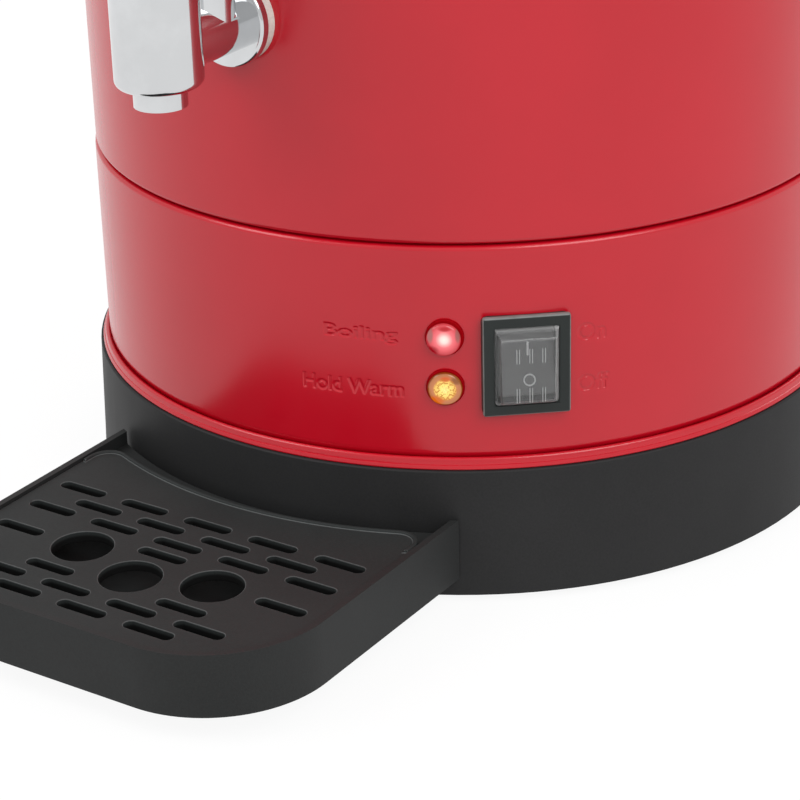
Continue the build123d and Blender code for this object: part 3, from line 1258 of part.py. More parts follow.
def knob_screw():
    """The screw that holds the knob from inside the lid."""
    seat = DOME_TOP - SHEET - 3 * SKIN
    head = post(KNOB_SCREW_HEAD_RADIUS, seat - KNOB_SCREW_HEAD, seat)
    return head + post(KNOB_SCREW_RADIUS, seat, DOME_TOP + KNOB_SCREW_REACH)


# ---------------------------------------------------------------- percolator
FOOT_LOW = WELL_FLOOR + PERK_GAP


def percolator_foot():
    """The pump's bell, which stands in the well and has four water notches in its edge."""
    wall = PERK_FOOT_WALL
    top = FOOT_LOW + PERK_FOOT_HEIGHT
    neck = TUBE_RADIUS + RUN + wall
    bell = turned(
        (PERK_FOOT_RADIUS, FOOT_LOW),
        (PERK_FOOT_RADIUS, FOOT_LOW + PERK_FOOT_EDGE),
        (neck, top),
        (neck, top + PERK_SOCKET),
        (TUBE_RADIUS + RUN, top + PERK_SOCKET),
        (TUBE_RADIUS + RUN, top - wall),
        (PERK_FOOT_RADIUS - wall, FOOT_LOW + PERK_FOOT_EDGE - wall / 2),
        (PERK_FOOT_RADIUS - wall, FOOT_LOW),
    )
    for angle in (0, 90):
        reach = PERK_FOOT_RADIUS + ROOT
        half = PERK_NOTCH_WIDTH / 2
        notch = slab(-reach, reach, -half, half, FOOT_LOW, FOOT_LOW + PERK_NOTCH_HEIGHT)
        bell -= Rot(0, 0, angle) * notch
    return bell


def percolator_tube():
    """The riser, with a collar that carries the basket."""
    low = FOOT_LOW + PERK_FOOT_HEIGHT
    tube = post(TUBE_RADIUS, low, RIM_TOP - TUBE_TOP_BELOW_RIM)
    tube += post(COLLAR_RADIUS, BASKET_BOTTOM - COLLAR_HEIGHT, BASKET_BOTTOM)
    return tube - post(TUBE_RADIUS - TUBE_WALL, low, RIM_TOP)


def pump_valve():
    """The loose disc on the floor of the well, which hops as steam lifts the water."""
    return post(VALVE_RADIUS, WELL_FLOOR + SKIN, WELL_FLOOR + SKIN + VALVE_THICK)


def perforations(low, high):
    """Rings of small holes through a round plate."""
    drills = []
    ring = PERFORATION_START
    while ring < BASKET_RADIUS - PERFORATION_EDGE:
        count = int(2 * pi * ring / PERFORATION_PITCH)
        angles = [360 * turn / count for turn in range(count)]
        drills += [post(PERFORATION, low, high, x, y) for x, y in around(ring, angles)]
        ring += PERFORATION_RINGS
    return Compound([solid for drill in drills for solid in drill.solids()])


def coffee_basket():
    """The coffee basket: a cup with a pierced floor and a sleeve that rides on the riser."""
    sleeve_bore = TUBE_RADIUS + LOOSE
    basket = turned(
        (sleeve_bore, BASKET_BOTTOM),
        (BASKET_RADIUS, BASKET_BOTTOM, BASKET_ROUND),
        (BASKET_RADIUS, BASKET_TOP),
        (BASKET_RADIUS - BASKET_WALL, BASKET_TOP),
        (BASKET_RADIUS - BASKET_WALL, BASKET_BOTTOM + BASKET_WALL, BASKET_ROUND - BASKET_WALL),
        (BASKET_SLEEVE, BASKET_BOTTOM + BASKET_WALL),
        (BASKET_SLEEVE, BASKET_TOP + BASKET_SLEEVE_UP),
        (sleeve_bore, BASKET_TOP + BASKET_SLEEVE_UP),
    )
    floor_top = BASKET_BOTTOM + BASKET_WALL
    return basket - perforations(BASKET_BOTTOM, floor_top)


def basket_spreader():
    """The pierced cover on the basket, which spreads the water."""
    low = BASKET_TOP + SKIN
    rim = BASKET_RADIUS + LOOSE
    cover = turned(
        (BASKET_SLEEVE + LOOSE, low),
        (rim, low),
        (rim, low - SPREADER_SKIRT),
        (rim + BASKET_WALL, low - SPREADER_SKIRT),
        (rim + BASKET_WALL, low + BASKET_WALL, SPREADER_ROUND),
        (BASKET_SLEEVE + LOOSE, low + BASKET_WALL),
    )
    return cover - perforations(low, low + BASKET_WALL)


# ---------------------------------------------------------------- drip tray
def tray_area(inset, rear_radius, rear_corner=0.0):
    """The tray's plan: straight sides, two round front corners, a hollow back round the drum."""
    half = TRAY_HALF_WIDTH - inset
    front = inset - TRAY_REACH
    corner = TRAY_CORNER - inset
    area = outline((-half, 0), (half, 0), (half, front, corner), (-half, front, corner))
    area -= Circle(rear_radius)
    if rear_corner:
        back = [v for v in area.vertices() if v.Y > front + corner + ROOT]
        area = fillet(back, rear_corner)
    return area


def raised(face, low, high):
    """A flat plan pulled up between two heights."""
    return Pos(0, 0, low) * extrude(face, high - low)


def drip_tray():
    """The tray: floor, walls, the shelf under the grille, two front posts and two tongues."""
    shelf_radius = TRAY_REAR_RADIUS + TRAY_SHELF_WIDTH
    wall_area = tray_area(0, TRAY_REAR_RADIUS) - tray_area(TRAY_WALL, TRAY_REAR_RADIUS + TRAY_WALL)
    side_area = tray_area(0, TRAY_REAR_RADIUS) - tray_area(TRAY_WALL, TRAY_REAR_RADIUS - TRAY_WALL)
    tray = raised(tray_area(0, TRAY_REAR_RADIUS), TRAY_BOTTOM, TRAY_BOTTOM + TRAY_WALL)
    tray += raised(wall_area, TRAY_BOTTOM, TRAY_SHELF)
    tray += raised(side_area, TRAY_SHELF - ROOT, TRAY_RIM)
    shelf_area = tray_area(TRAY_WALL / 4, TRAY_REAR_RADIUS) - tray_area(TRAY_SHELF_WIDTH, shelf_radius)
    tray += raised(shelf_area, TRAY_SHELF - TRAY_SHELF_THICK, TRAY_SHELF)
    for side in (-1, 1):
        tray += post(TRAY_POST_RADIUS, TRAY_PAD_THICK, TRAY_BOTTOM + ROOT, side * TRAY_POST_X, -TRAY_POST_Y)
        wall_y = -sqrt(TRAY_REAR_RADIUS**2 - TONGUE_X**2)
        tray += slab(
            side * TONGUE_X - TONGUE_WIDTH / 2,
            side * TONGUE_X + TONGUE_WIDTH / 2,
            wall_y - TONGUE_THICK,
            wall_y + TONGUE_REACH,
            TONGUE_LOW,
            TONGUE_LOW + TONGUE_THICK,
        )
    return tray


def tray_pads():
    """Two rubber pads under the tray's front posts."""
    radius = TRAY_POST_RADIUS + TRAY_PAD_PROUD
    return [post(radius, 0, TRAY_PAD_THICK, side * TRAY_POST_X, -TRAY_POST_Y) for side in (-1, 1)]


# Where the grille is open, row by row: slots by their column, and the rows of the cup holes.
SLOT_ROWS = (
    (-2, -1, 0, 1, 2),
    (-1.5, -0.5, 0.5, 1.5),
    (-2, -1, 0, 1, 2),
    (0,),
    (-2, 2),
    (),
    (-1, 1),
    (-1.5, -0.5, 0.5, 1.5),
    (-1, 0, 1),
)
CUP_HOLES = ((-1, 4), (1, 4), (0, 5))


def drip_grille():
    """The lift-out grille: a plate with a raised bead at its back, slots and three round holes."""
    inset = TRAY_WALL + GRILLE_SIDE_GAP
    area = tray_area(inset, GRILLE_REAR_RADIUS, GRILLE_CORNER)
    plate = raised(area, TRAY_SHELF, GRILLE_TOP)
    inner = tray_area(inset + BEAD_WIDTH, GRILLE_REAR_RADIUS + BEAD_WIDTH, GRILLE_CORNER - BEAD_WIDTH)
    back = Circle(GRILLE_REAR_RADIUS + GRILLE_CORNER + BEAD_RUN)
    bead = raised((area - inner) & back, GRILLE_TOP - BEAD_HEIGHT / 2, GRILLE_TOP + BEAD_HEIGHT)
    bead = fillet(bead.edges().group_by(Axis.Z)[-1], BEAD_WIDTH * BEAD_ROUND_SHARE)
    plate += bead
    slot = raised(SlotOverall(SLOT_LENGTH, SLOT_WIDTH), TRAY_SHELF, GRILLE_TOP)
    hole = post(CUP_HOLE_RADIUS, TRAY_SHELF, GRILLE_TOP)
    for row, columns in enumerate(SLOT_ROWS):
        y = -(FIRST_SLOT_ROW + row * SLOT_PITCH_Y)
        for column in columns:
            plate -= Pos(column * SLOT_PITCH_X, y, 0) * slot
    for column, row in CUP_HOLES:
        plate -= Pos(column * SLOT_PITCH_X, -(FIRST_SLOT_ROW + row * SLOT_PITCH_Y), 0) * hole
    return plate


# ---------------------------------------------------------------- the list of pieces
PIECES = (
    base_housing,
    base_plate,
    base_screws,
    base_feet,
    control_band,
    joint_ring,
    switch_body,
    switch_rocker,
    switch_cover,
    switch_terminals,
    lamp_holders,
    lamp_bulbs,
    power_inlet,
    inlet_pins,
    inlet_screws,
    terminal_block,
    wiring,
    tie_rods,
    tie_nuts,
    heat_shield,
    heating_plate,
    main_element,
    warm_element,
    thermostats,
    thermal_cutout,
    outer_shell,
    inner_tank,
    top_rim,
    handle_left,
    handle_right,
    handle_screws,
    tap_body,
    tap_washer_outer,
    tap_spacer,
    tap_washer_inner,
    tap_nut,
    tap_bonnet,
    tap_stem,
    tap_seat_cup,
    tap_spring,
    lever_pin,
    tap_lever,
    gauge_glass,
    gauge_seals,
    gauge_cap,
    gauge_guard,
    gauge_screws,
    lid,
    lid_knob,
    knob_screw,
    percolator_foot,
    percolator_tube,
    pump_valve,
    coffee_basket,
    basket_spreader,
    drip_tray,
    tray_pads,
    drip_grille,
)


def write(name, shapes):
    """One STEP file for one node: its solids, each a piece of the same kind."""
    shapes = shapes if isinstance(shapes, list) else [shapes]
    solids = [solid for shape in shapes for solid in shape.solids()]
    export_step(Compound(solids), f"parts/{name}.step")
    print(name, len(solids))


for piece in PIECES:
    write(piece.__name__, piece())
write("heating_lamp", lamp_lens(LAMPS[0]))
write("keep_warm_lamp", lamp_lens(LAMPS[1]))
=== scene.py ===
# %% [markdown]
# # A coffee urn, dressed for its picture
#
# The urn comes in as a frame of sixty separate pieces at their real size. This notebook gives
# each piece its finish, and models again, in finer detail, the ones that are seen close to: the
# red band with its pressed captions, the shell, the switch's bezel and cap, and the lamps.
# Everything is in metres, in the frame's own place: the urn stands on z = 0 with its axis on Z,
# and the tap side faces -Y.

# %% Load the frame
import json
from math import atan2, cos, pi, radians, sin

import bpy
import bmesh
from mathutils import Matrix, Vector
from mathutils.bvhtree import BVHTree

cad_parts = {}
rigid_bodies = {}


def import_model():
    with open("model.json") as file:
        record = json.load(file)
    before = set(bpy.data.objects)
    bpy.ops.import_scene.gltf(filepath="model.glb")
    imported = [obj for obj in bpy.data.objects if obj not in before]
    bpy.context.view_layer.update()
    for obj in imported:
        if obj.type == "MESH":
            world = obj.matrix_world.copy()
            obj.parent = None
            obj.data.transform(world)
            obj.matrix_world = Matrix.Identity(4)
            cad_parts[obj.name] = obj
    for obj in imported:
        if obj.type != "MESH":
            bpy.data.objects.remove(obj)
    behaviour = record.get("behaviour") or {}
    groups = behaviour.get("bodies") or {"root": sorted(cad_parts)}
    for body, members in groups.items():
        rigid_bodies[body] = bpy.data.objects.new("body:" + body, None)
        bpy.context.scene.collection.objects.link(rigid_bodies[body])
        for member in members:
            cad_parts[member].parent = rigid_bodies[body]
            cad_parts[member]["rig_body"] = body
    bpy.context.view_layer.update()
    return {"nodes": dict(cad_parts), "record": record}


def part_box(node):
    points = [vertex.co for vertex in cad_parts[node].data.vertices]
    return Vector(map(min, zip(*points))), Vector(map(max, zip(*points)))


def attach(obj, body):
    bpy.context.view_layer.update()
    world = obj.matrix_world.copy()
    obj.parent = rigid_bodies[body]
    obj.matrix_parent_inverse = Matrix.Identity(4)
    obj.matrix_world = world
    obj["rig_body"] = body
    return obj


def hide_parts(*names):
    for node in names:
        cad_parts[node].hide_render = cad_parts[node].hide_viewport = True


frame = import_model()
nodes = frame["nodes"]
MM = 0.001

# %% [markdown]
# ## Places on the round wall
#
# Most of what is seen sits on the band's wall, and that wall is round. So a place on it is an
# angle from the front and a height. One matrix takes anything that is made flat, with x across,
# y up and z outwards, to such a place.

# %% Size of the wall
LIP_PROUD = 2.4 * MM    # the lip at the band's foot stands out from its wall by this much

BAND_LOW, BAND_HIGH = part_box("control_band")
LIP_OUT = BAND_HIGH.x
BAND_OUT = LIP_OUT - LIP_PROUD
print("the band's wall lies", round(BAND_OUT / MM, 2), "mm from the axis")


# %% Where things sit on it
def centre_of(node):
    low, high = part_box(node)
    return (low + high) / 2


def panel_place(node):
    """Where a piece sits on the wall: its angle from the front, and its height."""
    centre = centre_of(node)
    return atan2(centre.x, -centre.y), centre.z


def panel(turn, height):
    """A matrix from (across, up, outwards) on the band's wall to the urn's own place."""
    across = Vector((cos(turn), sin(turn), 0))
    out = Vector((sin(turn), -cos(turn), 0))
    place = out * BAND_OUT + Vector((0, 0, height))
    return Matrix((
        (across.x, 0, out.x, place.x),
        (across.y, 0, out.y, place.y),
        (across.z, 1, out.z, place.z),
        (0, 0, 0, 1),
    ))


switch_turn, switch_height = panel_place("switch_body")
print("the switch sits", round(switch_turn / pi * 180, 1), "degrees from the front")

# %% [markdown]
# ## Camera
#
# The picture is a close view of the foot of the urn, taken from the right and from a little
# above. A camera is placed by where it stands, where it looks and how far it leans. The long
# lens keeps the perspective mild, as in a product picture.

# %% Camera
def added(name, data):
    """An object with that data, put in the scene."""
    thing = bpy.data.objects.new(name, data)
    bpy.context.scene.collection.objects.link(thing)
    return thing


CAMERA_PLACE = Vector((0.42007, -0.66987, 0.37039))
CAMERA_LOOK = Vector((-0.50719, 0.75535, -0.41498))
CAMERA_LEAN = radians(-1.6056)
LENS = 112.3055    # millimetres, on a sensor 36 mm wide

camera_data = bpy.data.cameras.new("camera")
camera_data.lens = LENS
camera_data.sensor_width = 36.0
camera_data.clip_end = 20.0
camera = added("camera", camera_data)
aim = CAMERA_LOOK.to_track_quat("-Z", "Y").to_matrix().to_4x4()
lean = Matrix.Rotation(CAMERA_LEAN, 4, "Z")
camera.matrix_world = Matrix.Translation(CAMERA_PLACE) @ aim @ lean
bpy.context.scene.camera = camera
print("camera", round(CAMERA_PLACE.length, 2), "m from the foot of the urn")

# %% [markdown]
# ## Shader sums
#
# A finish is a small sum of patterns. As a chain of nodes it is hard to read, so one small class
# holds a socket and lets Python's own signs add the Math nodes. Every other node comes from its
# one method, node.

# %% A class for shader sums
def feed(node, values):
    """Fills a node's sockets, each with a constant or a link."""
    for name, value in values.items():
        if isinstance(value, Value):
            value.tree.links.new(value.socket, node.inputs[name])
        else:
            node.inputs[name].default_value = value


class Value:
    """One output of a material's nodes."""

    def __init__(self, tree, socket):
        self.tree = tree
        self.socket = socket

    def node(self, kind, settings=None, inputs=None, output=0):
        """A new node: first its settings, then the values or links of its sockets."""
        made = self.tree.nodes.new("ShaderNode" + kind)
        for name, setting in (settings or {}).items():
            if name == "stops":
                ramp = made.color_ramp
                while len(ramp.elements) < len(setting):
                    ramp.elements.new(0.5)
                for element, (position, color) in zip(ramp.elements, setting):
                    element.position = position
                    element.color = color
            else:
                setattr(made, name, setting)
        feed(made, inputs or {})
        return Value(self.tree, made.outputs[output])

    def math(self, operation, first, second=0.0):
        return self.node("Math", {"operation": operation}, {0: first, 1: second})

    def __add__(self, other):
        return self.math("ADD", self, other)

    __radd__ = __add__

    def __mul__(self, other):
        return self.math("MULTIPLY", self, other)

    __rmul__ = __mul__

    def __sub__(self, other):
        return self.math("SUBTRACT", self, other)

    def __rsub__(self, other):
        return self.math("SUBTRACT", other, self)

    def __truediv__(self, other):
        return self.math("DIVIDE", self, other)

    def power(self, exponent):
        return self.math("POWER", self, exponent)

    def absolute(self):
        return self.math("ABSOLUTE", self)

    def maximum(self, other):
        return self.math("MAXIMUM", self, other)

    def step(self, low, high):
        """0 below low, 1 above high and a smooth rise between."""
        inputs = {"Value": self, "From Min": low, "From Max": high}
        return self.node("MapRange", {"interpolation_type": "SMOOTHSTEP"}, inputs)

    def mix(self, first, second):
        """From the first colour to the second, by this mask."""
        return self.node("Mix", {"data_type": "RGBA"}, {0: self, 6: first, 7: second}, 2)

    def noise(self, scale, detail=2.0, rough=0.5):
        """Cloudy noise on these coordinates, 0 to 1."""
        inputs = {"Vector": self, "Scale": scale, "Detail": detail, "Roughness": rough}
        return self.node("TexNoise", None, inputs)

    def placed(self, place=(0, 0, 0), angle=0.0, stretch=(1, 1, 1)):
        """These coordinates seen from a place, turned about Z and stretched."""
        inputs = {"Location": place, "Rotation": (0, 0, angle), "Scale": stretch}
        return self.node("Mapping", {"vector_type": "TEXTURE"}, {"Vector": self, **inputs})

    def part(self, axis):
        """One coordinate: 0 for x, 1 for y, 2 for z."""
        return self.node("SeparateXYZ", None, {"Vector": self}, axis)


# %% [markdown]
# A material starts with its Object coordinates, on which the patterns are built, and ends in one
# shader. Two more helpers change a finished material: one lays a second colour over its own, and
# one mixes a second shader into it. The last tells which kind of ray asks.

# %% From sums to materials
def coordinates(name):
    """A new material, and its Object coordinates to build patterns on."""
    material = bpy.data.materials.new(name)
    material.use_nodes = True
    tree = material.node_tree
    start = tree.nodes.new("ShaderNodeTexCoord")
    return material, Value(tree, start.outputs["Object"])


def object_place(material):
    """The Object coordinates of a material that is made already."""
    tree = material.node_tree
    return Value(tree, tree.nodes["Texture Coordinate"].outputs["Object"])


def panel_local(material, node):
    """Coordinates on the wall where the node sits: x runs across, -y outwards and z up."""
    turn, height = panel_place(node)
    return object_place(material).placed((0, 0, height), turn)


def finish(material, color, roughness, bump=None, height=0.0, more=None):
    """Fills the material's shader. The bump's height is in metres, and more fills other sockets."""
    values = {"Base Color": color, "Roughness": roughness, **(more or {})}
    if bump is not None:
        relief = {"Height": bump, "Distance": height, "Strength": 1.0}
        values["Normal"] = bump.node("Bump", None, relief)
    feed(material.node_tree.nodes["Principled BSDF"], values)
    return material


def overlaid(material, mask, color):
    """Lays a colour over the material's own one where the mask is 1."""
    shader = material.node_tree.nodes["Principled BSDF"]
    tone = Value(mask.tree, shader.inputs["Base Color"].links[0].from_socket)
    feed(shader, {"Base Color": mask.mix(tone, color)})
    return material


def blended(material, share, other):
    """Mixes another shader into the material's own one by that share."""
    tree = material.node_tree
    own = Value(tree, tree.nodes["Principled BSDF"].outputs[0])
    mixed = share.node("MixShader", None, {0: share, 1: own, 2: other})
    feed(tree.nodes["Material Output"], {"Surface": mixed})
    return material


def seen_by(tree, *kinds):
    """1 for the rays of those kinds and 0 for all others."""
    paths = tree.nodes.new("ShaderNodeLightPath").outputs
    first, *others = (Value(tree, paths[kind]) for kind in kinds)
    for other in others:
        first = first.maximum(other)
    return first


def grey(level):
    return (level, level, level, 1)


def shaded(color, factor=1.0):
    """A colour made lighter or darker, with the alpha that a socket wants."""
    return tuple(min(1.0, c * factor) for c in color) + (1,)


# %% [markdown]
# ## Light, floor and background
#
# Glossy paint shows the room around it, so the light of a product picture is mostly a white
# tent. Here the world is that tent: full white where the camera looks at it, also through clear
# plastic, and a little weaker as light and in reflections. Three wide soft lamps above the urn
# give the shapes a light side. The floor is plain white too, and keeps the urn's soft shadow.

# %% World
TENT_LEVEL = 0.78    # as light and in reflections; the camera sees it at 1

world = bpy.data.worlds.new("white_tent")
bpy.context.scene.world = world
world.use_nodes = True
tent = world.node_tree
seen = seen_by(tent, "Is Camera Ray", "Is Transmission Ray")
level = seen.node("MapRange", None, {"Value": seen, "To Min": TENT_LEVEL, "To Max": 1.0})
feed(tent.nodes["Background"], {"Color": grey(1.0), "Strength": level})
print("white tent, as light", TENT_LEVEL)

# %% Lamps
BOX_WIDTH = 1.2
BOX_AIM = Vector((0, 0, 0.15))
SOFT_BOXES = (
    # name, place, watts
    ("box_left", (-0.9, -1.1, 1.5), 12.5),
    ("box_right", (1.3, -0.5, 1.3), 15.0),
    ("box_back", (-0.2, 1.4, 1.4), 9.0),
)
for name, place, watts in SOFT_BOXES:
    lamp = bpy.data.lights.new(name, "AREA")
    lamp.shape = "DISK"
    lamp.size = BOX_WIDTH
    lamp.energy = watts
    lamp_object = added(name, lamp)
    lamp_object.location = place
    look = BOX_AIM - Vector(place)
    lamp_object.rotation_euler = look.to_track_quat("-Z", "Y").to_euler()
print(len(SOFT_BOXES), "soft boxes")

# %% [markdown]
# ## Finishes
#
# The red is a baked enamel on pressed steel. It mirrors the white tent softly, so it looks
# pinkish where it faces the light and deep red where it faces something dark. A very fine orange
# peel and a slight unevenness of the gloss make it real, and the colour itself hardly varies.

# %% Red enamel
RED_DEEP = (0.515, 0.0028, 0.0138, 1)
RED_LIGHT = (0.54, 0.0034, 0.0155, 1)
RED_GLOSS = 0.187    # least roughness
RED_SHINE = 0.57
ORANGE_PEEL = 0.012 * MM


def red_enamel():
    material, place = coordinates("red_enamel")
    cloud = place.noise(26.0, 3.0)
    color = cloud.step(0.3, 0.7).mix(RED_DEEP, RED_LIGHT)
    gloss = RED_GLOSS + 0.05 * place.noise(180.0, 2.0)
    peel = place.noise(520.0, 2.0, 0.45) + 0.5 * place.noise(1900.0, 1.0)
    return finish(material, color, gloss, peel, ORANGE_PEEL, {"Specular IOR Level": RED_SHINE})


# %% [markdown]
# Black moulded plastic is a very dark grey with a fine grain that spreads the light. The grain is
# a high, even noise in the bump. Larger, faint clouds in the roughness stand for the polish of
# hands and cloths.

# %% Moulded plastics
def moulded(name, color, roughness, grain=0.02, spread=0.12, scale=2600.0, shine=0.35):
    """Plastic with a grain that many millimetres high, and a gloss that varies by spread."""
    material, place = coordinates(name)
    mottle = (0.5 * place.noise(1500.0, 2.0) + 0.5 * place.noise(30.0, 3.0)).step(0.3, 0.7)
    tone = mottle.mix(shaded(color, 0.86), shaded(color, 1.14))
    worn = roughness + spread * (place.noise(22.0, 4.0, 0.6) - 0.5)
    pits = place.noise(scale, 3.0, 0.6)
    return finish(material, tone, worn, pits, grain * MM, {"Specular IOR Level": shine})


# %% [markdown]
# Sheet steel shows the way it was worked. A tank or a lid is brushed while it turns, so its
# lines run round the axis: noise that is stretched along the lines and fine across them. A
# turned or ground part has the same lines closer together, and a plated one has hardly any.

# %% Metals
def brushed(name, color, roughness, centre=(0, 0, 0), lines=900.0, depth=0.004, dull=0.12):
    """Metal brushed round an upright axis through centre."""
    material, place = coordinates(name)
    x = place.part(0) - centre[0]
    y = place.part(1) - centre[1]
    radius = (x * x + y * y).power(0.5)
    rings = place.node("CombineXYZ", None, {"X": radius * lines, "Y": place.part(2) * lines})
    streak = rings.noise(1.0, 3.0, 0.65)
    mottle = (0.6 * streak + 0.4 * place.noise(18.0, 3.0)).step(0.32, 0.68)
    tone = mottle.mix(shaded(color, 0.88), shaded(color, 1.06))
    gloss = roughness + dull * (streak - 0.5) + 0.5 * dull * place.noise(35.0, 4.0)
    return finish(material, tone, gloss, streak, depth * MM, {"Metallic": 1.0})


def plated(name, color, roughness, smudge=0.1, scale=45.0):
    """Smooth metal with the faint smudges of handling."""
    material, place = coordinates(name)
    cloud = place.noise(scale, 5.0, 0.6)
    tone = cloud.step(0.35, 0.7).mix(shaded(color, 0.9), shaded(color))
    gloss = roughness + smudge * cloud.step(0.45, 0.8) + 0.02 * place.noise(900.0)
    return finish(material, tone, gloss, place.noise(700.0), 0.002 * MM, {"Metallic": 1.0})


HEAT_TINTS = (
    (0.3, (0.12, 0.1, 0.09, 1)),
    (0.5, (0.28, 0.2, 0.13, 1)),
    (0.72, (0.16, 0.17, 0.22, 1)),
)


def heated(name):
    """The mantle of a tubular heater: steel that heat has turned brown and blue in clouds."""
    material, place = coordinates(name)
    cloud = place.noise(60.0, 4.0)
    tone = place.node("ValToRGB", {"stops": HEAT_TINTS}, {"Fac": cloud})
    gloss = 0.38 + 0.2 * cloud
    return finish(material, tone, gloss, place.noise(1400.0), 0.01 * MM, {"Metallic": 1.0})


# %% [markdown]
# Clear pieces are mostly what is behind them. The gauge glass is smooth. The splash cap over
# the switch is soft clear plastic: clear enough on its flat face, milky in its walls and along
# their edges, where one looks through more of it. Along the edges and on the walls that face the
# light, more milk is mixed in as a painted highlight. So it is a clear shader and a milky one,
# mixed by where on the switch's panel a point lies.

# %% Clear pieces
def clear_piece(name, color, roughness, haze, ior):
    material, place = coordinates(name)
    cloud = place.noise(160.0, 4.0, 0.6)
    tone = cloud.step(0.3, 0.8).mix(shaded(color), shaded(color, 0.94))
    gloss = roughness + haze * cloud.step(0.4, 0.8)
    clear = {"Transmission Weight": 1.0, "IOR": ior}
    return finish(material, tone, gloss, cloud, 0.0005 * MM, clear)


# %% The soft clear cap
CAP_FACE = (16.5, 20.0)      # width and height of its flat face
CAP_SHIFT = (0.2, -0.7)      # the face lies this far off the middle of the foot
MILK = (0.42, 0.35)          # grey and roughness
MILK_LEAST = 0.06
MILK_FOOT = 0.3
# the shares of milk along the edges and on the walls that face the light are painted highlight
MILK_EDGE_HIGHLIGHT = 0.12
MILK_LIT_WALL = 0.28


def soft_clear(name, node):
    """The splash cap's plastic, milky in its walls, with painted highlight on its edges and lit
    walls. All in millimetres on the panel.
    """
    material = clear_piece(name, (0.92, 0.93, 0.93), 0.05, 0.04, 1.44)
    local = panel_local(material, node)
    x, y, z = (local.part(axis) / MM for axis in range(3))
    across = (x - CAP_SHIFT[0]).absolute() / (CAP_FACE[0] / 2)
    up = (z - CAP_SHIFT[1]).absolute() / (CAP_FACE[1] / 2)
    # rim is 0 in the middle of the face, 1 along its edge, and more on the slanting walls
    rim = across.maximum(up)
    wall = rim.step(0.97, 1.01)
    # a painted highlight along the edge of the face, for the light that the walls carry
    edge = rim.step(0.94, 0.985) * (1.0 - rim.step(1.005, 1.05))
    foot = 1.0 - (-1.0 * y - BAND_OUT / MM).step(2.5, 2.9)
    # the right wall and the lower one face the light and get more milk, a painted highlight
    lit_walls = x.step(8.2, 8.6).maximum((-1.0 * z).step(10.5, 10.9))
    share = MILK_LEAST + MILK_FOOT * foot + MILK_EDGE_HIGHLIGHT * edge + MILK_LIT_WALL * lit_walls * wall
    milk = share.node("BsdfPrincipled", None, {"Base Color": grey(MILK[0]), "Roughness": MILK[1]})
    return blended(material, share, milk)


# %% [markdown]
# The wires in the base wear woven sleeves. A wave pattern squeezed to about a millimetre stands
# for the weave, in the colour and in the bump.

# %% Woven sleeve
WEAVE = (0.0012, 0.0012, 0.0007)


def sleeve(name, color):
    material, place = coordinates(name)
    waves = place.placed(stretch=WEAVE)
    weave = waves.node("TexWave", {"wave_type": "BANDS"}, {"Scale": 1.0}, 1)
    tone = weave.mix(shaded(color, 0.7), shaded(color))
    return finish(material, tone, 0.6 + 0.1 * place.noise(300.0), weave, 0.05 * MM)


# %% [markdown]
# ## One finish for each kind of piece
#
# Every piece of the frame gets its finish here. Metals that were brushed round their own axis
# get that axis, and like metals on different pieces differ a little in gloss.

# %% Plastics with a second tone
GRILLE_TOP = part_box("drip_grille")[1].z
# painted shade for the walls of the grille's slots
SLOT_SHADE = grey(0.004)
# painted highlight along the bezel's outer edge
EDGE_HIGHLIGHT_GREY = (0.24, 0.25, 0.245, 1)
EDGE_HIGHLIGHT_HALF = (13.0, 15.65)    # half width and half height of the rubbed rectangle


def grille_plastic(name, color):
    """The tray's plastic, with painted shade that darkens the walls of the slots below the top."""
    material = moulded(name, color, 0.6, 0.03, shine=0.2)
    height = object_place(material).part(2)
    # 1 on the top of the grille; below it the painted shade of the slots takes over
    above_slot_shade = height.step(GRILLE_TOP - 2.6 * MM, GRILLE_TOP - 1.6 * MM)
    return overlaid(material, 1.0 - above_slot_shade, SLOT_SHADE)


def edge_highlighted(name, node, color):
    """Moulded plastic on the panel, with a painted highlight along the edge of a rectangle."""
    material = moulded(name, color, 0.36, 0.006, 0.08)
    local = panel_local(material, node)
    x = local.part(0).absolute() / (EDGE_HIGHLIGHT_HALF[0] * MM)
    z = local.part(2).absolute() / (EDGE_HIGHLIGHT_HALF[1] * MM)
    # the painted highlight along the rectangle's edge, uneven along its length
    edge = x.maximum(z).step(0.966, 0.984) * (0.45 + 0.6 * local.noise(300.0, 3.0))
    return overlaid(material, edge, EDGE_HIGHLIGHT_GREY)


# %% The finishes by name
BLACK = (0.019, 0.019, 0.0195)
TAP_AXIS = (0, centre_of("tap_stem").y, 0)
GAUGE_AXIS = (0, centre_of("gauge_glass").y, 0)

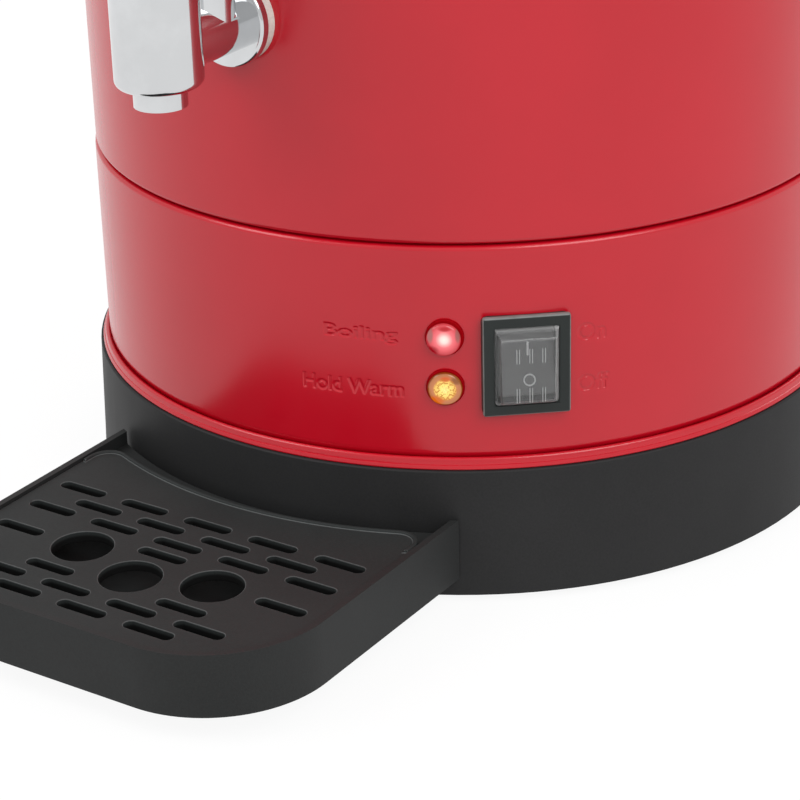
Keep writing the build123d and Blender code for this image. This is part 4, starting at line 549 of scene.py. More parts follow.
FINISHES = {
    "red": red_enamel(),
    # the joint ring's dull dark red is painted shade, the groove's shadow with red light bounced in
    "ring": moulded("groove_shade_red", (0.2, 0.001, 0.004), 0.7, shine=0.0),
    "flange": moulded("flange_plastic", (0.3, 0.001, 0.004), 0.6, shine=0.02),
    "drum": moulded("drum_plastic", BLACK, 0.58, shine=0.22),
    "tray": moulded("tray_plastic", (0.021, 0.022, 0.022), 0.58, 0.03, shine=0.2),
    "grille": grille_plastic("grille_plastic", (0.0215, 0.0246, 0.0244)),
    # a lighter plastic on the grille's rounded edges, a painted highlight
    "edge": grille_plastic("edge_highlight_plastic", (0.075, 0.08, 0.08)),
    "fitting": moulded("fitting_plastic", BLACK, 0.4, 0.01),
    "grip": moulded("grip_plastic", (0.02, 0.02, 0.021), 0.34, 0.008),
    "switch": moulded("switch_plastic", (0.019, 0.025, 0.023), 0.36, 0.006, 0.08),
    # the bezel's outer edge carries a painted highlight
    "bezel": edge_highlighted("bezel_plastic", "switch_body", (0.0105, 0.0145, 0.0135)),
    "rocker": moulded("rocker_plastic", (0.105, 0.105, 0.105), 0.45, 0.006, 0.05),
    "mark": moulded("mark_paint", (0.5, 0.5, 0.5), 0.5, 0.004),
    # light grey strips that paint the highlights on the edges of the cap's ribs
    "rib": moulded("rib_edge_highlight", (0.42, 0.43, 0.43), 0.35, 0.004),
    "rubber": moulded("foot_rubber", (0.03, 0.03, 0.03), 0.78, 0.05, 0.1, 900.0),
    "silicone": moulded("seal_silicone", (0.62, 0.6, 0.55), 0.55, 0.01, 0.1, 1200.0),
    "ivory": moulded("ivory_plastic", (0.66, 0.61, 0.5), 0.42, 0.01),
    "cover": soft_clear("splash_cap_plastic", "switch_cover"),
    "glass": clear_piece("gauge_tube_glass", (0.97, 0.99, 0.985), 0.0, 0.04, 1.47),
    "bulb": clear_piece("bulb_glass", (1.0, 0.93, 0.85), 0.02, 0.05, 1.47),
    "body": brushed("sheet_steel", (0.62, 0.61, 0.6), 0.3),
    "shield": brushed("shield_steel", (0.5, 0.49, 0.48), 0.42, lines=500.0),
    "guard": brushed("guard_steel", (0.6, 0.6, 0.59), 0.26, GAUGE_AXIS, 1600.0),
    "lid": brushed("lid_steel", (0.66, 0.65, 0.64), 0.2, lines=1300.0, dull=0.08),
    "aluminium": brushed("drawn_aluminium", (0.72, 0.72, 0.72), 0.36, lines=700.0, depth=0.006),
    "stem": brushed("turned_stem", (0.58, 0.58, 0.57), 0.22, TAP_AXIS, 2500.0),
    "zinc": plated("zinc_plate", (0.55, 0.55, 0.54), 0.28, 0.14, 160.0),
    "chrome": plated("chrome_plate", (0.68, 0.69, 0.7), 0.06, 0.08),
    "brass": plated("plain_brass", (0.66, 0.47, 0.2), 0.24, 0.2, 120.0),
    "heater": heated("heater_mantle"),
    "sleeve": sleeve("wire_sleeve", (0.5, 0.49, 0.45)),
}
print(len(FINISHES), "finishes")

# %% Which piece wears which
WORN_BY = {
    "red": "control_band outer_shell",
    "ring": "joint_ring",
    "drum": "base_housing base_plate",
    "tray": "drip_tray drip_grille",
    "fitting": "gauge_cap lamp_holders power_inlet tap_bonnet tap_spacer",
    "grip": "handle_left handle_right lid_knob tap_lever",
    "switch": "switch_body",
    "rocker": "switch_rocker",
    "rubber": "base_feet gauge_seals tray_pads",
    "silicone": "tap_seat_cup tap_washer_inner tap_washer_outer",
    "ivory": "terminal_block thermal_cutout thermostats",
    "cover": "switch_cover",
    "glass": "gauge_glass",
    "bulb": "lamp_bulbs",
    "body": "inner_tank top_rim pump_valve",
    "shield": "heat_shield",
    "guard": "gauge_guard",
    "lid": "lid",
    "aluminium": "basket_spreader coffee_basket heating_plate percolator_foot percolator_tube",
    "stem": "tap_stem lever_pin tap_spring",
    "zinc": "base_screws gauge_screws handle_screws inlet_screws knob_screw tie_nuts tie_rods",
    "chrome": "tap_body",
    "brass": "inlet_pins switch_terminals tap_nut",
    "heater": "main_element warm_element",
    "sleeve": "wiring",
}


def wear(piece, finish_name):
    """Gives the whole piece one finish."""
    piece.data.materials.clear()
    piece.data.materials.append(FINISHES[finish_name])


for finish_name, wearers in WORN_BY.items():
    for node in wearers.split():
        wear(nodes[node], finish_name)
print(sum(len(wearers.split()) for wearers in WORN_BY.values()), "pieces finished")

# %% [markdown]
# ## Ways of working
#
# A few helpers come back all the time. The first makes a piece the only thing that is selected,
# because an operator works on all that is selected. The next opens a piece in edit mode, runs a
# few mesh operators on it and closes it again. The others shade a piece, bring it to the origin
# and, once it is finished, say what it belongs to.

# %% Select and edit
def deselect():
    bpy.ops.object.select_all(action="DESELECT")


def only(piece):
    """Selects that piece and nothing else."""
    deselect()
    piece.select_set(True)
    bpy.context.view_layer.objects.active = piece
    return piece


def edited(piece, *steps):
    """Runs mesh operators on the whole piece, each a name with its settings."""
    only(piece)
    bpy.ops.object.mode_set(mode="EDIT")
    bpy.ops.mesh.select_all(action="SELECT")
    for name, settings in steps:
        getattr(bpy.ops.mesh, name)(**settings)
    bpy.ops.object.mode_set(mode="OBJECT")
    return piece


def modified(piece, kind, **settings):
    """Applies a modifier with those settings."""
    only(piece)
    modifier = piece.modifiers.new(kind.lower(), kind)
    for name, setting in settings.items():
        setattr(modifier, name, setting)
    bpy.ops.object.modifier_apply(modifier=modifier.name)
    return piece


MERGE = ("remove_doubles", {"threshold": 1e-5})
OUTWARD = ("normals_make_consistent", {"inside": False})


def smooth(piece, degrees=32):
    """Smooth shading up to that angle, with flat faces kept flat by weighting the normals."""
    only(piece)
    bpy.ops.object.shade_smooth_by_angle(angle=radians(degrees))
    return modified(piece, "WEIGHTED_NORMAL", keep_sharp=True)


def place_in_mesh(piece):
    """Moves the object's place into its mesh, so that the object sits at the origin."""
    piece.data.transform(piece.matrix_world)
    piece.matrix_world = Matrix.Identity(4)
    return piece


def settle(piece, finish_name, slot, body, *replaced):
    """A finished piece gets its finish and body, and stands for the pieces it replaces. The slot is
    not used.
    """
    if finish_name:
        wear(piece, finish_name)
    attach(piece, body)
    if replaced:
        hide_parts(*replaced)
    print(piece.name, len(piece.data.polygons), "faces")
    return piece


# %% [markdown]
# ## The control band
#
# On the real urn the band is pressed from one sheet, and its captions are pressed into the same
# red, so they show only by their light and dark edges. A bump would give the shade but no
# shape. Here the band's section is spun round the axis. The steps are wide where nothing
# happens, and a fifth of a millimetre where a caption is, so that there are points enough to
# press the letters in.

# %% Sizes of the band
FOOT = BAND_LOW.z
TOP = BAND_HIGH.z
INSIDE = BAND_OUT - 11.4 * MM    # inner edge of the flanges at its foot and top
SHEET = 0.8 * MM
SHOULDER = 1.4 * MM      # round of the band's upper edge
LIP_FACE = 3.6 * MM      # height of the lip
LIP_ROUND = 0.5 * MM     # round of the lip's lower edge
LIP_STEP = ((0.35, 1.5), (0.6, 1.6), (0.62, 1.85))    # a fine step round it: in, up, in mm
BEAD = 0.9 * MM          # round of the bead that ends the lip
FLARE = 0.85 * MM        # the bead lies this far inside the lip's lower edge
CREASE_DROP = 1.3 * MM   # the crease behind the bead lies this far under its top
CURL = 4.6 * MM          # the wall curls in with this round down to the crease
CURL_TURN = 50           # degrees
LOW_CAPTION = (64.8 * MM, 72.0 * MM)
HIGH_CAPTION = (81.2 * MM, 88.4 * MM)
FINE = 0.2 * MM          # step in height where a caption is


# %% Section of the band
def arc(centre_r, centre_z, radius, start, end, count):
    """Points on an arc of the section, by angle in degrees from outwards."""
    steps = [radians(start + (end - start) * i / count) for i in range(count + 1)]
    return [(centre_r + radius * cos(a), centre_z + radius * sin(a)) for a in steps]


def rows(low, high, step):
    """Heights between low and high, about one step apart."""
    count = max(1, round((high - low) / step))
    return [low + (high - low) * i / count for i in range(1, count)]


wall_top = TOP - SHOULDER
curl_deep = CURL * (1 - cos(radians(CURL_TURN)))
crease = FOOT + LIP_FACE - CREASE_DROP
wall_foot = crease + CURL * sin(radians(CURL_TURN))
heights = [wall_foot]
heights += rows(wall_foot, LOW_CAPTION[0], 3.0 * MM)
heights += [LOW_CAPTION[0]] + rows(*LOW_CAPTION, FINE) + [LOW_CAPTION[1]]
heights += rows(LOW_CAPTION[1], HIGH_CAPTION[0], 2.0 * MM)
heights += [HIGH_CAPTION[0]] + rows(*HIGH_CAPTION, FINE) + [HIGH_CAPTION[1]]
heights += rows(HIGH_CAPTION[1], wall_top, 3.0 * MM)

section = [(INSIDE, FOOT), (LIP_OUT - 1.2 * MM, FOOT)]
section += arc(LIP_OUT - LIP_ROUND, FOOT + LIP_ROUND, LIP_ROUND, -90, 17, 6)
section += [(LIP_OUT - into * MM, FOOT + up * MM) for into, up in LIP_STEP]
section += arc(LIP_OUT - FLARE - BEAD, FOOT + LIP_FACE - BEAD, BEAD, 17, 165, 14)
section += [(BAND_OUT - curl_deep, crease - 0.1 * MM)]
section += arc(BAND_OUT - CURL, wall_foot, CURL, -CURL_TURN, 0, 10)[:-1]
section += [(BAND_OUT, z) for z in heights]
section += arc(BAND_OUT - SHOULDER, wall_top, SHOULDER, 0, 90, 9)
inner = BAND_OUT - curl_deep - SHEET
section += [(INSIDE, TOP), (INSIDE, TOP - SHEET), (BAND_OUT - SHEET, TOP - SHEET - 1.5 * MM)]
section += [(BAND_OUT - SHEET, wall_foot), (inner, crease)]
section += [(inner, FOOT + SHEET), (INSIDE, FOOT + SHEET)]
print(len(section), "points in the section")

# %% Spin it, fine where the captions are
LAMP_WORDS = (7.0, 23.9)       # degrees where the captions of the lamps are
SWITCH_WORDS = (46.2, 52.4)    # and those of the switch
WIDE_STEP = 1.43
FINE_STEP = 0.1
# from, to, step in degrees; the front is 0 and +X is 90
SPINS = (
    (-180.0, LAMP_WORDS[0], WIDE_STEP),
    (*LAMP_WORDS, FINE_STEP),
    (LAMP_WORDS[1], SWITCH_WORDS[0], WIDE_STEP),
    (*SWITCH_WORDS, FINE_STEP),
    (SWITCH_WORDS[1], 180.0, WIDE_STEP),
)
AXIS_DOWN = (0, 0, -1)


def spun(name, points, spins):
    """A closed section of (radius, height) points carried round the axis in one or more spins."""
    first = radians(spins[0][0])
    corners = [(r * sin(first), -r * cos(first), z) for r, z in points]
    ring = [(i, (i + 1) % len(points)) for i in range(len(points))]
    mesh = bpy.data.meshes.new(name)
    mesh.from_pydata(corners, ring, [])
    piece = added(name, mesh)
    turns = []
    for start, end, step in spins:
        steps = max(1, round((end - start) / step))
        turn = {"steps": steps, "angle": radians(end - start), "axis": AXIS_DOWN}
        turns.append(("spin", {"center": (0, 0, 0), **turn}))
    edited(piece, *turns)
    return edited(piece, MERGE, OUTWARD)


band = spun("band_pressed", section, SPINS)
print("band", len(band.data.vertices), "points")

# %% [markdown]
# The letters are ordinary text, turned into flat meshes. For each point of the band's fine
# stretches the nearest point of the text tells whether it lies in a letter, just beside one or
# well away. A soft step over a fifth of a millimetre gives the round edges of pressed sheet.

# %% Captions
PRESS_DEPTH = 0.22 * MM
PRESS_SOFT = 0.22 * MM    # width of the soft edge
FATTER = 0.006            # the letters are drawn a little bolder
CAPTIONS = (
    # words, capital height, degrees and height of the middle of the words, length
    ("Boiling", 5.0, 16.85, 84.8, 22.4),
    ("Hold Warm", 4.7, 15.45, 68.05, 31.4),
    ("On", 5.2, 49.05, 84.4, 8.6),
    ("Off", 5.0, 49.3, 68.0, 9.6),
)


def flat_words(words, capital, length):
    """The words as a flat mesh round the origin, as wide and high as given in millimetres."""
    curve = bpy.data.curves.new(words, "FONT")
    curve.body = words
    curve.align_x = "CENTER"
    curve.align_y = "CENTER"
    curve.resolution_u = 4
    curve.offset = FATTER
    text = added(words, curve)
    bpy.context.view_layer.update()
    mesh = bpy.data.meshes.new_from_object(text)
    bpy.data.objects.remove(text)
    across = [v.co.x for v in mesh.vertices]
    up = [v.co.y for v in mesh.vertices]
    middle = ((max(across) + min(across)) / 2, (max(up) + min(up)) / 2)
    wide = length * MM / (max(across) - min(across))
    high = capital * MM / (max(up) - min(up))
    for v in mesh.vertices:
        v.co = ((v.co.x - middle[0]) * wide, (v.co.y - middle[1]) * high, 0)
    return mesh


def press(piece, words, capital, degrees, height, length):
    """Presses the words into the wall of the piece."""
    mesh = flat_words(words, capital, length)
    corners = [v.co for v in mesh.vertices]
    faces = BVHTree.FromPolygons(corners, [p.vertices for p in mesh.polygons])
    reach = length * MM / BAND_OUT / 2 + radians(1.0)
    pressed = 0
    for v in piece.data.vertices:
        if abs(v.co.z - height * MM) > capital * MM:
            continue
        if v.co.xy.length < BAND_OUT - 0.1 * MM:
            continue
        turn = atan2(v.co.x, -v.co.y) - radians(degrees)
        if abs(turn) > reach:
            continue
        distance = faces.find_nearest(Vector((turn * BAND_OUT, v.co.z - height * MM, 0)))[3]
        share = max(0.0, 1 - distance / PRESS_SOFT)
        if share > 0:
            share = share * share * (3 - 2 * share)
            v.co.xy *= 1 - share * PRESS_DEPTH / BAND_OUT
            pressed += 1
    return pressed


for caption in CAPTIONS:
    print(caption[0], press(band, *caption), "points pressed")

# %% [markdown]
# The switch, the lamps and the inlet go through the band, and the tap goes through the shell.
# Each hole is cut with a plain box or rod through a Boolean modifier, so the sheet's cut edge is
# there too. The bezel and the flanges cover the edges later.

# %% Holes
CUT_DEPTH = 60 * MM
HOLES = (
    # node, half width, half height, in millimetres; a round hole has no height
    ("switch_body", 11.5, 14.0),
    ("heating_lamp", 4.5),
    ("keep_warm_lamp", 4.5),
    ("power_inlet", 10.2, 13.9),
)


def pierced(piece, node, half_width, half_height=None):
    """Cuts a hole of that half size where the node sits."""
    deselect()
    if half_height is None:
        bpy.ops.mesh.primitive_cylinder_add(
            vertices=32, radius=half_width * MM, depth=CUT_DEPTH
        )
    else:
        half_size = (half_width * MM, half_height * MM, CUT_DEPTH / 2)
        bpy.ops.mesh.primitive_cube_add(size=2, scale=half_size)
    cutter = place_in_mesh(bpy.context.object)
    cutter.data.transform(panel(*panel_place(node)))
    modified(piece, "BOOLEAN", object=cutter, solver="MANIFOLD")
    bpy.data.objects.remove(cutter)
    return piece


for hole in HOLES:
    pierced(band, *hole)
print(len(HOLES), "holes in the band")
settle(smooth(band, 40), "red", "red_paint", "base", "control_band")

# %% [markdown]
# ## Shell and joint
#
# The shell ends in a small round edge, as the band's shoulder does, and between them lies a dull
# dark red ring. Its dark red is painted shade: the shadow in the groove with red light bounced
# into it. So the joint reads as one dark line with a strip of deep red on either side. The
# shell's edge is drawn a little lower than in the frame, to keep the line as fine as it is.

# %% Shell
SHELL_LOW, SHELL_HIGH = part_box("outer_shell")
SHELL_OUT = SHELL_HIGH.x
EDGE = 1.7 * MM         # round of its two edges
EDGE_DOWN = 0.9 * MM    # its lower edge is drawn this much lower
FLANGE = 6.0 * MM       # turned in at its top
TAP_HOLE = 11.5         # radius in millimetres
WHOLE_TURN = ((-180.0, 180.0, 1.25),)

edge_low = SHELL_LOW.z - EDGE_DOWN
shell_section = [(INSIDE, edge_low)]
shell_section += arc(SHELL_OUT - EDGE, edge_low + EDGE, EDGE, -90, 0, 9)
shell_section += arc(SHELL_OUT - EDGE, SHELL_HIGH.z - EDGE, EDGE, 0, 90, 6)
shell_section += [(SHELL_OUT - FLANGE, SHELL_HIGH.z)]
shell_section += [(SHELL_OUT - FLANGE, SHELL_HIGH.z - SHEET)]
shell_section += [(SHELL_OUT - SHEET, SHELL_HIGH.z - EDGE), (SHELL_OUT - SHEET, edge_low + EDGE)]
shell_section += [(INSIDE, edge_low + SHEET)]
shell = spun("shell_rolled", shell_section, WHOLE_TURN)
pierced(shell, "tap_spacer", TAP_HOLE)
settle(smooth(shell, 40), "red", "red_paint", "base", "outer_shell")

# %% Joint ring
RING_LOW, RING_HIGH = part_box("joint_ring")
RING_IN = INSIDE + MM
RING_HOLLOW = 0.2 * MM    # its outer face is this much hollow
ring_section = [(RING_IN, RING_LOW.z), (RING_HIGH.x, RING_LOW.z)]
ring_section += [(RING_HIGH.x - RING_HOLLOW, (RING_LOW.z + RING_HIGH.z) / 2)]
ring_section += [(RING_HIGH.x, RING_HIGH.z), (RING_IN, RING_HIGH.z)]
joint = spun("joint_ring_hollow", ring_section, WHOLE_TURN)
settle(smooth(joint), "ring", "red_paint", "base", "joint_ring")

# %% [markdown]
# ## Softer edges on frame pieces
#
# A moulded or cast piece has no knife edges: each edge is rounded a little and catches a thin
# line of light. For the pieces seen close to, the frame's mesh is copied, its doubles are
# merged, flat stretches are cleared of their triangles, and a Bevel modifier rounds what is
# still sharp. The copy then stands for the frame's piece.

# %% Softened copies
SLOTS = {part["node"]: part["material_slot"] for part in frame["record"]["subparts"]}
FLATTEN = ("dissolve_limited", {"angle_limit": radians(0.6), "use_dissolve_boundaries": False})
SHARP = radians(28)    # edges that turn by more than this are rounded


def softened(node, width, finish_name, segments=2, edge=None, clamp=True):
    """A copy of a frame piece with its edges rounded by width, in millimetres."""
    source = nodes[node]
    piece = added(node + "_soft", source.data.copy())
    edited(piece, MERGE, FLATTEN)
    wear(piece, finish_name)
    if edge:
        piece.data.materials.append(FINISHES[edge])
    modified(
        piece, "BEVEL", width=width * MM, segments=segments, limit_method="ANGLE",
        angle_limit=SHARP, use_clamp_overlap=clamp, material=1 if edge else -1,
    )
    return settle(smooth(piece), None, SLOTS[node], source["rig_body"], node)


# %% [markdown]
# ## The switch
#
# The rocker sits under a soft clear cap that keeps splashes off. The cap is narrower at its
# front than at its foot, so its four walls show as a pale frame round the face, partly a painted
# highlight. On the face it has three ribs above and three below, each drawn as a pair of thin
# light strips, a painted highlight on its two edges. The rocker under it is a plain dark grey
# with the ring of OFF and the stroke of ON printed on it, and its upper end is pressed in.
#
# All of it is made of blocks lying flat at the origin, and then brought to the wall. Their sizes
# are in millimetres: width, height, and the depths of foot and top out from the wall.

# %% Small blocks on the panel
SWITCH_PANEL = panel(switch_turn, switch_height)


def picked(piece, kind, test, *steps):
    """Runs mesh operators on the faces or edges whose corner points pass the test."""
    only(piece)
    bpy.ops.object.mode_set(mode="EDIT")
    bpy.ops.mesh.select_mode(type=kind)
    bpy.ops.mesh.select_all(action="DESELECT")
    work = bmesh.from_edit_mesh(piece.data)
    for element in work.faces if kind == "FACE" else work.edges:
        element.select = test([v.co for v in element.verts])
    bmesh.update_edit_mesh(piece.data)
    for name, settings in steps:
        kit = bpy.ops.transform if name in ("resize", "translate") else bpy.ops.mesh
        getattr(kit, name)(**settings)
    bpy.ops.mesh.select_mode(type="VERT")
    bpy.ops.object.mode_set(mode="OBJECT")
    return piece


def every(test):
    """Asks the test of each corner point of a face or edge."""
    return lambda points: all(test(p) for p in points)


def rounded(width, segments=4):
    """The bevel operator, with its width in millimetres."""
    return "bevel", {"offset": width * MM, "segments": segments, "affect": "EDGES"}


def upright(points):
    """Whether an edge runs from the foot of a block to its top."""
    return abs((points[0] - points[1]).normalized().z) > 0.8


def block(name, wide, high, low, top, rounding=0.0):
    """A box by its width, height and two depths, in millimetres, with rounded upright edges."""
    deselect()
    bpy.ops.mesh.primitive_cube_add(size=1, location=(0, 0, (low + top) / 2 * MM))
    piece = bpy.context.object
    piece.name = name
    piece.scale = (wide * MM, high * MM, (top - low) * MM)
    bpy.ops.object.transform_apply(location=True, rotation=True, scale=True)
    if rounding:
        picked(piece, "EDGE", upright, rounded(rounding))
    return piece


def on_panel(piece, place=SWITCH_PANEL):
    """Brings a block to its place on the wall."""
    piece.data.transform(place)
    return edited(piece, OUTWARD)


def joined(name, pieces):
    """Several pieces as one."""
    only(pieces[0])
    for piece in pieces:
        piece.select_set(True)
    bpy.ops.object.join()
    bpy.context.object.name = name
    return bpy.context.object


# %% The clear cap
CAP_BASE = (19.1, 24.7)
CAP_FOOT = 1.6
CAP_PROUD = 5.2
CAP_WALL = 0.7
NEAR = 0.1    # a point this near a plane lies on it

cap = block("splash_cap", *CAP_BASE, CAP_FOOT, CAP_PROUD)
narrowing = (CAP_FACE[0] / CAP_BASE[0], CAP_FACE[1] / CAP_BASE[1], 1)
shift = (CAP_SHIFT[0] * MM, CAP_SHIFT[1] * MM, 0)
at_face = every(lambda p: p.z > (CAP_PROUD - NEAR) * MM)
at_foot = every(lambda p: p.z < (CAP_FOOT + NEAR) * MM)
picked(cap, "FACE", at_face, ("resize", {"value": narrowing}), ("translate", {"value": shift}))
picked(cap, "FACE", at_foot, ("delete", {"type": "FACE"}))
picked(cap, "EDGE", upright, rounded(1.2))
picked(cap, "EDGE", at_face, rounded(0.6, 3))
edited(cap, OUTWARD)
modified(cap, "SOLIDIFY", thickness=CAP_WALL * MM, offset=-1)
settle(smooth(on_panel(cap), 40), "cover", "clear_cover", "base", "switch_cover")

# %% The ribs of the cap, drawn as painted highlight lines
RIB_COLUMNS = (-3.1, 0.7, 4.5)
RIB_ROWS = (4.4, -8.05)
RIB_GAP = 0.8
RIB_SIZE = (0.2, 4.6, CAP_PROUD - 0.06, CAP_PROUD + 0.12)
RIB_ROUND = 0.1
pieces = []
for column in RIB_COLUMNS:
    for side in (-RIB_GAP / 2, RIB_GAP / 2):
        for row in RIB_ROWS:
            rib = block("rib", *RIB_SIZE, RIB_ROUND)
            rib.data.transform(Matrix.Translation(((column + side) * MM, row * MM, 0)))
            pieces.append(rib)
ribs = joined("cap_rib_highlights", pieces)
settle(smooth(on_panel(ribs)), "rib", "clear_cover", "base")

# %% Rocker and its marks
ROCKER_TURN = radians(10)
PIVOT = -4.0 * MM
DISH = (0.7, 1.5 / 10.2)      # height of its middle, and slope towards its ends
OFF_RING = (1.62 * MM, 0.24 * MM)
OFF_FLAT = 0.3                # the ring is pressed flat to this share of its height
OFF_PLACE = (0.62, -5.35)
ON_STROKE = (0.6, 4.1, -0.03, 0.07)
ON_PLACE = (0.35, 4.0)
turn = Matrix.Rotation(-ROCKER_TURN, 4, "X")
tilt = Matrix.Translation((0, 0, PIVOT)) @ turn @ Matrix.Translation((0, 0, -PIVOT))


def on_rocker(piece, across, up):
    """Lays a flat mark on the rocker's dished face and tilts it with the rocker."""
    slope = DISH[1] if up > 0 else -DISH[1]
    lift = (DISH[0] + DISH[1] * abs(up)) * MM
    place = Matrix.Translation((across * MM, up * MM, lift))
    piece.data.transform(SWITCH_PANEL @ tilt @ place @ Matrix.Rotation(atan2(slope, 1), 4, "X"))
    return edited(piece, OUTWARD)


softened("switch_rocker", 0.35, "rocker")
deselect()
bpy.ops.mesh.primitive_torus_add(
    major_radius=OFF_RING[0], minor_radius=OFF_RING[1], major_segments=48, minor_segments=12
)
off_ring = bpy.context.object
off_ring.name = "off_ring"
off_ring.data.transform(Matrix.Diagonal((1, 1, OFF_FLAT, 1)))
on_rocker(off_ring, *OFF_PLACE)
on_stroke = block("on_stroke", *ON_STROKE, 0.15)
on_rocker(on_stroke, *ON_PLACE)
for mark in (off_ring, on_stroke):
    settle(smooth(mark), "mark", "rocker_plastic", "rocker")

# %% [markdown]
# The housing's bezel has nearly square corners and a fine edge, painted light as a highlight.
# It starts as a block. Its front face is inset and pushed in, which leaves the frame standing,
# and the face at the bottom is taken away.

# %% Housing and bezel
BEZEL = (26.06, 31.36)
BEZEL_PROUD = 2.3
BEZEL_WIDE = 3.3
BEZEL_DEEP = 1.2


def in_front(point):
    return point.z > (BEZEL_PROUD - NEAR) * MM


def at_side(point):
    return abs(point.x) > (BEZEL[0] / 2 - NEAR) * MM


def at_end(point):
    return abs(point.y) > (BEZEL[1] / 2 - NEAR) * MM


softened("switch_body", 0.25, "switch")
bezel = block("switch_bezel", *BEZEL, 0.0, BEZEL_PROUD)
inset = ("inset", {"thickness": BEZEL_WIDE * MM})
inwards = {"TRANSFORM_OT_translate": {"value": (0, 0, -BEZEL_DEEP * MM)}}
push = ("extrude_region_move", inwards)
picked(bezel, "FACE", every(in_front), inset, push, ("delete", {"type": "FACE"}))
picked(bezel, "EDGE", every(lambda p: at_side(p) and at_end(p)), rounded(0.8))
outline = every(lambda p: in_front(p) and (at_side(p) or at_end(p)))
picked(bezel, "EDGE", outline, rounded(0.3, 3))
settle(smooth(on_panel(bezel), 40), "bezel", "switch_plastic", "base")

# %% [markdown]
# ## The lamps
#
# Each lamp is a lens with a flange that snaps into the band, with a glow bulb behind it. The
# bulb itself can't be made out: the lens is brightest in the middle and falls off towards its
# edge, where it shows the dark of its barrel. The red lens is smooth. The amber one has a
# round field of small facets inside, which sparkle.

# %% Shape of a lens and its flange
LENS_TURN = ((-180.0, 180.0, 6.0),)
lens_section = [(0, -6.0), (4.45, -6.0), (4.45, 0.5), (4.8, 0.6)]
lens_section = [(r * MM, w * MM) for r, w in lens_section]
lens_section += arc(3.8 * MM, 1.1 * MM, 1.1 * MM, 0, 70, 6)
lens_section += [(r * MM, (2.45 - 0.024 * r * r) * MM) for r in (3.4, 2.6, 1.8, 0.9, 0)]
flange_section = [(4.4 * MM, 0), (5.75 * MM, 0)]
flange_section += arc(5.35 * MM, 0.5 * MM, 0.4 * MM, 0, 90, 4)
flange_section += [(4.4 * MM, 0.7 * MM)]


def lens(name, node, slot, shift, wide):
    """One lens with its flange in place of the frame's lamp, the lens a little off the middle."""
    place = panel(*panel_place(node))
    piece = spun(name, lens_section, LENS_TURN)
    size = Matrix.Diagonal((wide, wide, 1, 1))
    on_panel(piece, place @ Matrix.Translation((shift[0] * MM, shift[1] * MM, 0)) @ size)
    settle(smooth(piece, 40), name, slot, "base", node)
    flange = spun(name + "_flange", flange_section, LENS_TURN)
    on_panel(flange, place)
    return settle(smooth(flange, 40), "flange", slot, "base")


# %% [markdown]
# The glow is the lens's own Emission Color. It is worked out on the panel: x runs across, z up,
# so a distance from the middle gives the rings, and small soft spots off the middle paint darker,
# tinted places into the glow.

# %% Glow of a lens
GLOW_REACH = 6.0             # the rings are given up to this distance, in millimetres
FACET_FIELD = (3.2, 3.7)     # the facets end between these distances
HEART = (0.5, 1.8)           # and are washed out by the glow within these
FACET_SIZE = 1500.0
SHADE_BETWEEN = (0.5, 0.17, 0.012, 1)


def spot(local, across, up, wide, high):
    """1 in a soft oval on the panel and 0 outside it, sizes in millimetres."""
    x = (local.part(0) - across * MM) / (wide * MM)
    z = (local.part(2) - up * MM) / (high * MM)
    return 1.0 - (x * x + z * z).step(0.05, 1.7)


def lens_plastic(name, node, body, rings, spots, facets=False):
    """Tinted plastic that glows in rings round its middle, with spots over them."""
    turn, height = panel_place(node)
    material, place = coordinates(name)
    origin = (BAND_OUT * sin(turn), -BAND_OUT * cos(turn), height)
    local = place.placed(origin, turn)
    x, z = local.part(0), local.part(2)
    distance = (x * x + z * z).power(0.5) / MM
    wobble = distance / GLOW_REACH + 0.05 * (local.noise(420.0, 3.0) - 0.5)
    stops = [(d / GLOW_REACH, (*color, 1)) for d, color in rings]
    glow = wobble.node("ValToRGB", {"stops": stops}, {"Fac": wobble})
    for across, up, wide, high, color in spots:
        glow = spot(local, across, up, wide, high).mix(glow, (*color, 1))
    bump = local.noise(300.0)
    if facets:
        cells = local.node("TexVoronoi", None, {"Vector": local, "Scale": FACET_SIZE})
        field = 1.0 - distance.step(*FACET_FIELD)
        washed = 0.25 + 0.75 * distance.step(*HEART)
        grain = local.noise(1600.0, 1.0).step(0.46, 0.62)
        glow = (field * grain * washed * 0.8).mix(glow, SHADE_BETWEEN)
        bump = cells * field
    gloss = 0.1 + 0.08 * local.noise(240.0)
    lit = {"IOR": 1.5, "Emission Color": glow, "Emission Strength": 1.0}
    return finish(material, body, gloss, bump, 0.01 * MM, lit)


# %% Rings and spots of the two lenses
RED_RINGS = (
    # distance from the middle in millimetres, colour
    (0.0, (1.0, 0.92, 0.82)),
    (1.0, (0.98, 0.76, 0.7)),
    (1.8, (0.92, 0.42, 0.41)),
    (2.5, (0.84, 0.19, 0.21)),
    (3.4, (0.76, 0.12, 0.14)),
    (4.2, (0.6, 0.07, 0.085)),
    (4.9, (0.4, 0.03, 0.04)),
)
RED_SPOTS = (
    # across, up, width, height, colour
    (-4.1, 1.3, 0.9, 2.3, (0.3, 0.13, 0.12)),
    (4.0, 1.4, 0.8, 2.3, (0.26, 0.1, 0.09)),
    (0.2, 3.3, 1.9, 0.75, (0.4, 0.004, 0.01)),
    (-4.0, -3.6, 2.2, 1.5, (0.25, 0.0, 0.006)),
)
AMBER_RINGS = (
    (0.0, (1.0, 0.93, 0.32)),
    (1.6, (0.98, 0.8, 0.2)),
    (3.1, (0.88, 0.55, 0.12)),
    (3.5, (0.52, 0.2, 0.08)),
    (4.7, (0.4, 0.15, 0.06)),
    (4.95, (0.14, 0.03, 0.0)),
    (5.3, (0.12, 0.002, 0.001)),
)
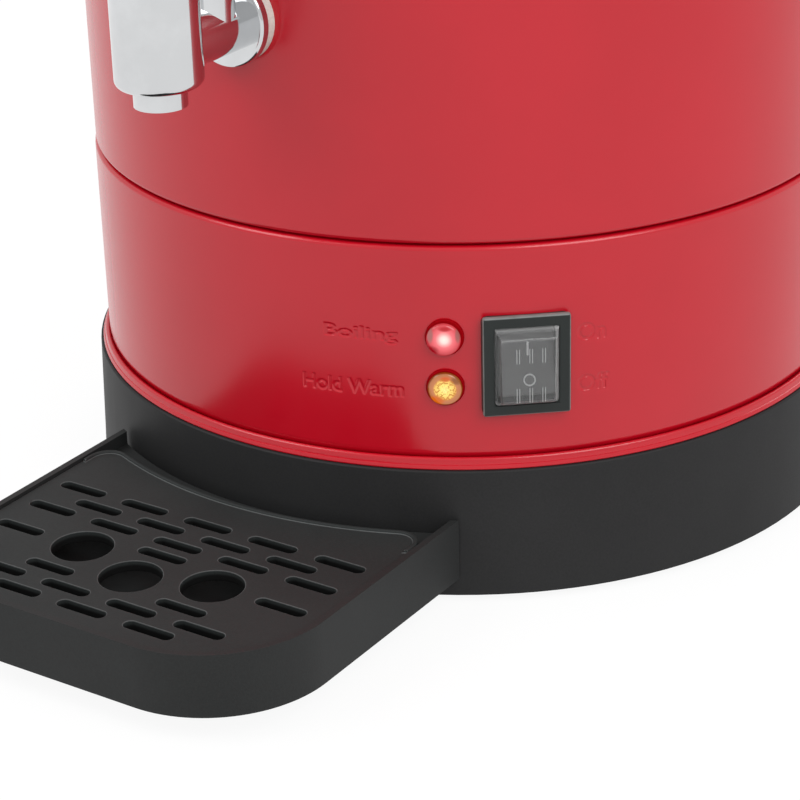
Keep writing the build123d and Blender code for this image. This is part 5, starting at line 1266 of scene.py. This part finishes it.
AMBER_SPOTS = (
    (-2.6, -3.5, 2.3, 1.5, (0.62, 0.12, 0.002)),
    (0.1, 3.3, 1.5, 0.8, (0.6, 0.09, 0.01)),
    (3.4, 2.9, 1.7, 1.3, (0.2, 0.075, 0.02)),
)

print(len(RED_RINGS), "rings of red and", len(AMBER_RINGS), "of amber")

# %% The two lamps
RED_BODY = (0.12, 0.002, 0.004, 1)
AMBER_BODY = (0.1, 0.02, 0.002, 1)
FINISHES["red_lens"] = lens_plastic(
    "red_lens", "heating_lamp", RED_BODY, RED_RINGS, RED_SPOTS
)
FINISHES["amber_lens"] = lens_plastic(
    "amber_lens", "keep_warm_lamp", AMBER_BODY, AMBER_RINGS, AMBER_SPOTS, facets=True
)
lens("red_lens", "heating_lamp", "lamp_red", (-0.25, -0.4), 1.03)
lens("amber_lens", "keep_warm_lamp", "lamp_amber", (-0.1, -0.1), 1.06)

# %% [markdown]
# ## Drum, tray and grille
#
# These fill the lower half of the picture, so their edges matter most: the drum's lower edge,
# the tray's rim and the edges of the slots in the grille.

# %% Softened base pieces
softened("base_housing", 0.6, "drum", 3)
softened("drip_tray", 0.8, "tray", 3)
# the grille's rounded edges wear the lighter plastic as a painted highlight
softened("drip_grille", 0.25, "grille", edge="edge", clamp=False)

# %% [markdown]
# ## Pieces above the base
#
# The tap, the handles, the gauge's guard and the lid's knob are touched and wiped most, so
# their edges are rounded too.

# %% Softened upper pieces
for node in ("handle_left", "handle_right", "lid_knob", "tap_lever"):
    softened(node, 0.5, "grip")
for node in ("tap_bonnet", "gauge_cap", "power_inlet"):
    softened(node, 0.3, "fitting")
softened("tap_body", 0.3, "chrome")
softened("gauge_guard", 0.15, "guard")
softened("lid", 0.2, "lid")
softened("top_rim", 0.2, "body")

# %% [markdown]
# ## Floor
#
# The urn stands on a wide white sheet. A picture of goods shows no horizon, so the sheet is as
# white as the tent for the camera, for reflections and through clear plastic, and keeps only
# the shade that the urn throws on it.

# %% Floor
FLOOR_RADIUS = 4.0
FLOOR_DROP = 0.5 * MM    # it lies this far under the feet
FLOOR_GREY = 0.45        # the sheet itself, which takes the shadow
FLOOR_GLOW = 1.12        # the white that is mixed with it
FLOOR_WHITE = 0.82       # and the share of that white

deselect()
bpy.ops.mesh.primitive_circle_add(
    vertices=96, radius=FLOOR_RADIUS, fill_type="NGON", location=(0, 0, -FLOOR_DROP)
)
floor = bpy.context.object
floor.name = "floor_sheet"
bpy.ops.object.transform_apply(location=True, rotation=True, scale=True)

material, place = coordinates("floor_white")
finish(material, grey(FLOOR_GREY), 0.9 + 0.05 * place.noise(9.0))
seen = seen_by(place.tree, "Is Camera Ray", "Is Glossy Ray", "Is Transmission Ray")
glow = seen.node("Emission", None, {"Color": grey(1.0), "Strength": FLOOR_GLOW})
blended(material, seen * FLOOR_WHITE, glow)
floor.data.materials.append(material)
print("floor", 2 * FLOOR_RADIUS, "m across")

# %% [markdown]
# ## Colour settings
#
# The picture is made with plain colour settings.

# %% Settings
bpy.context.scene.view_settings.view_transform = "Standard"
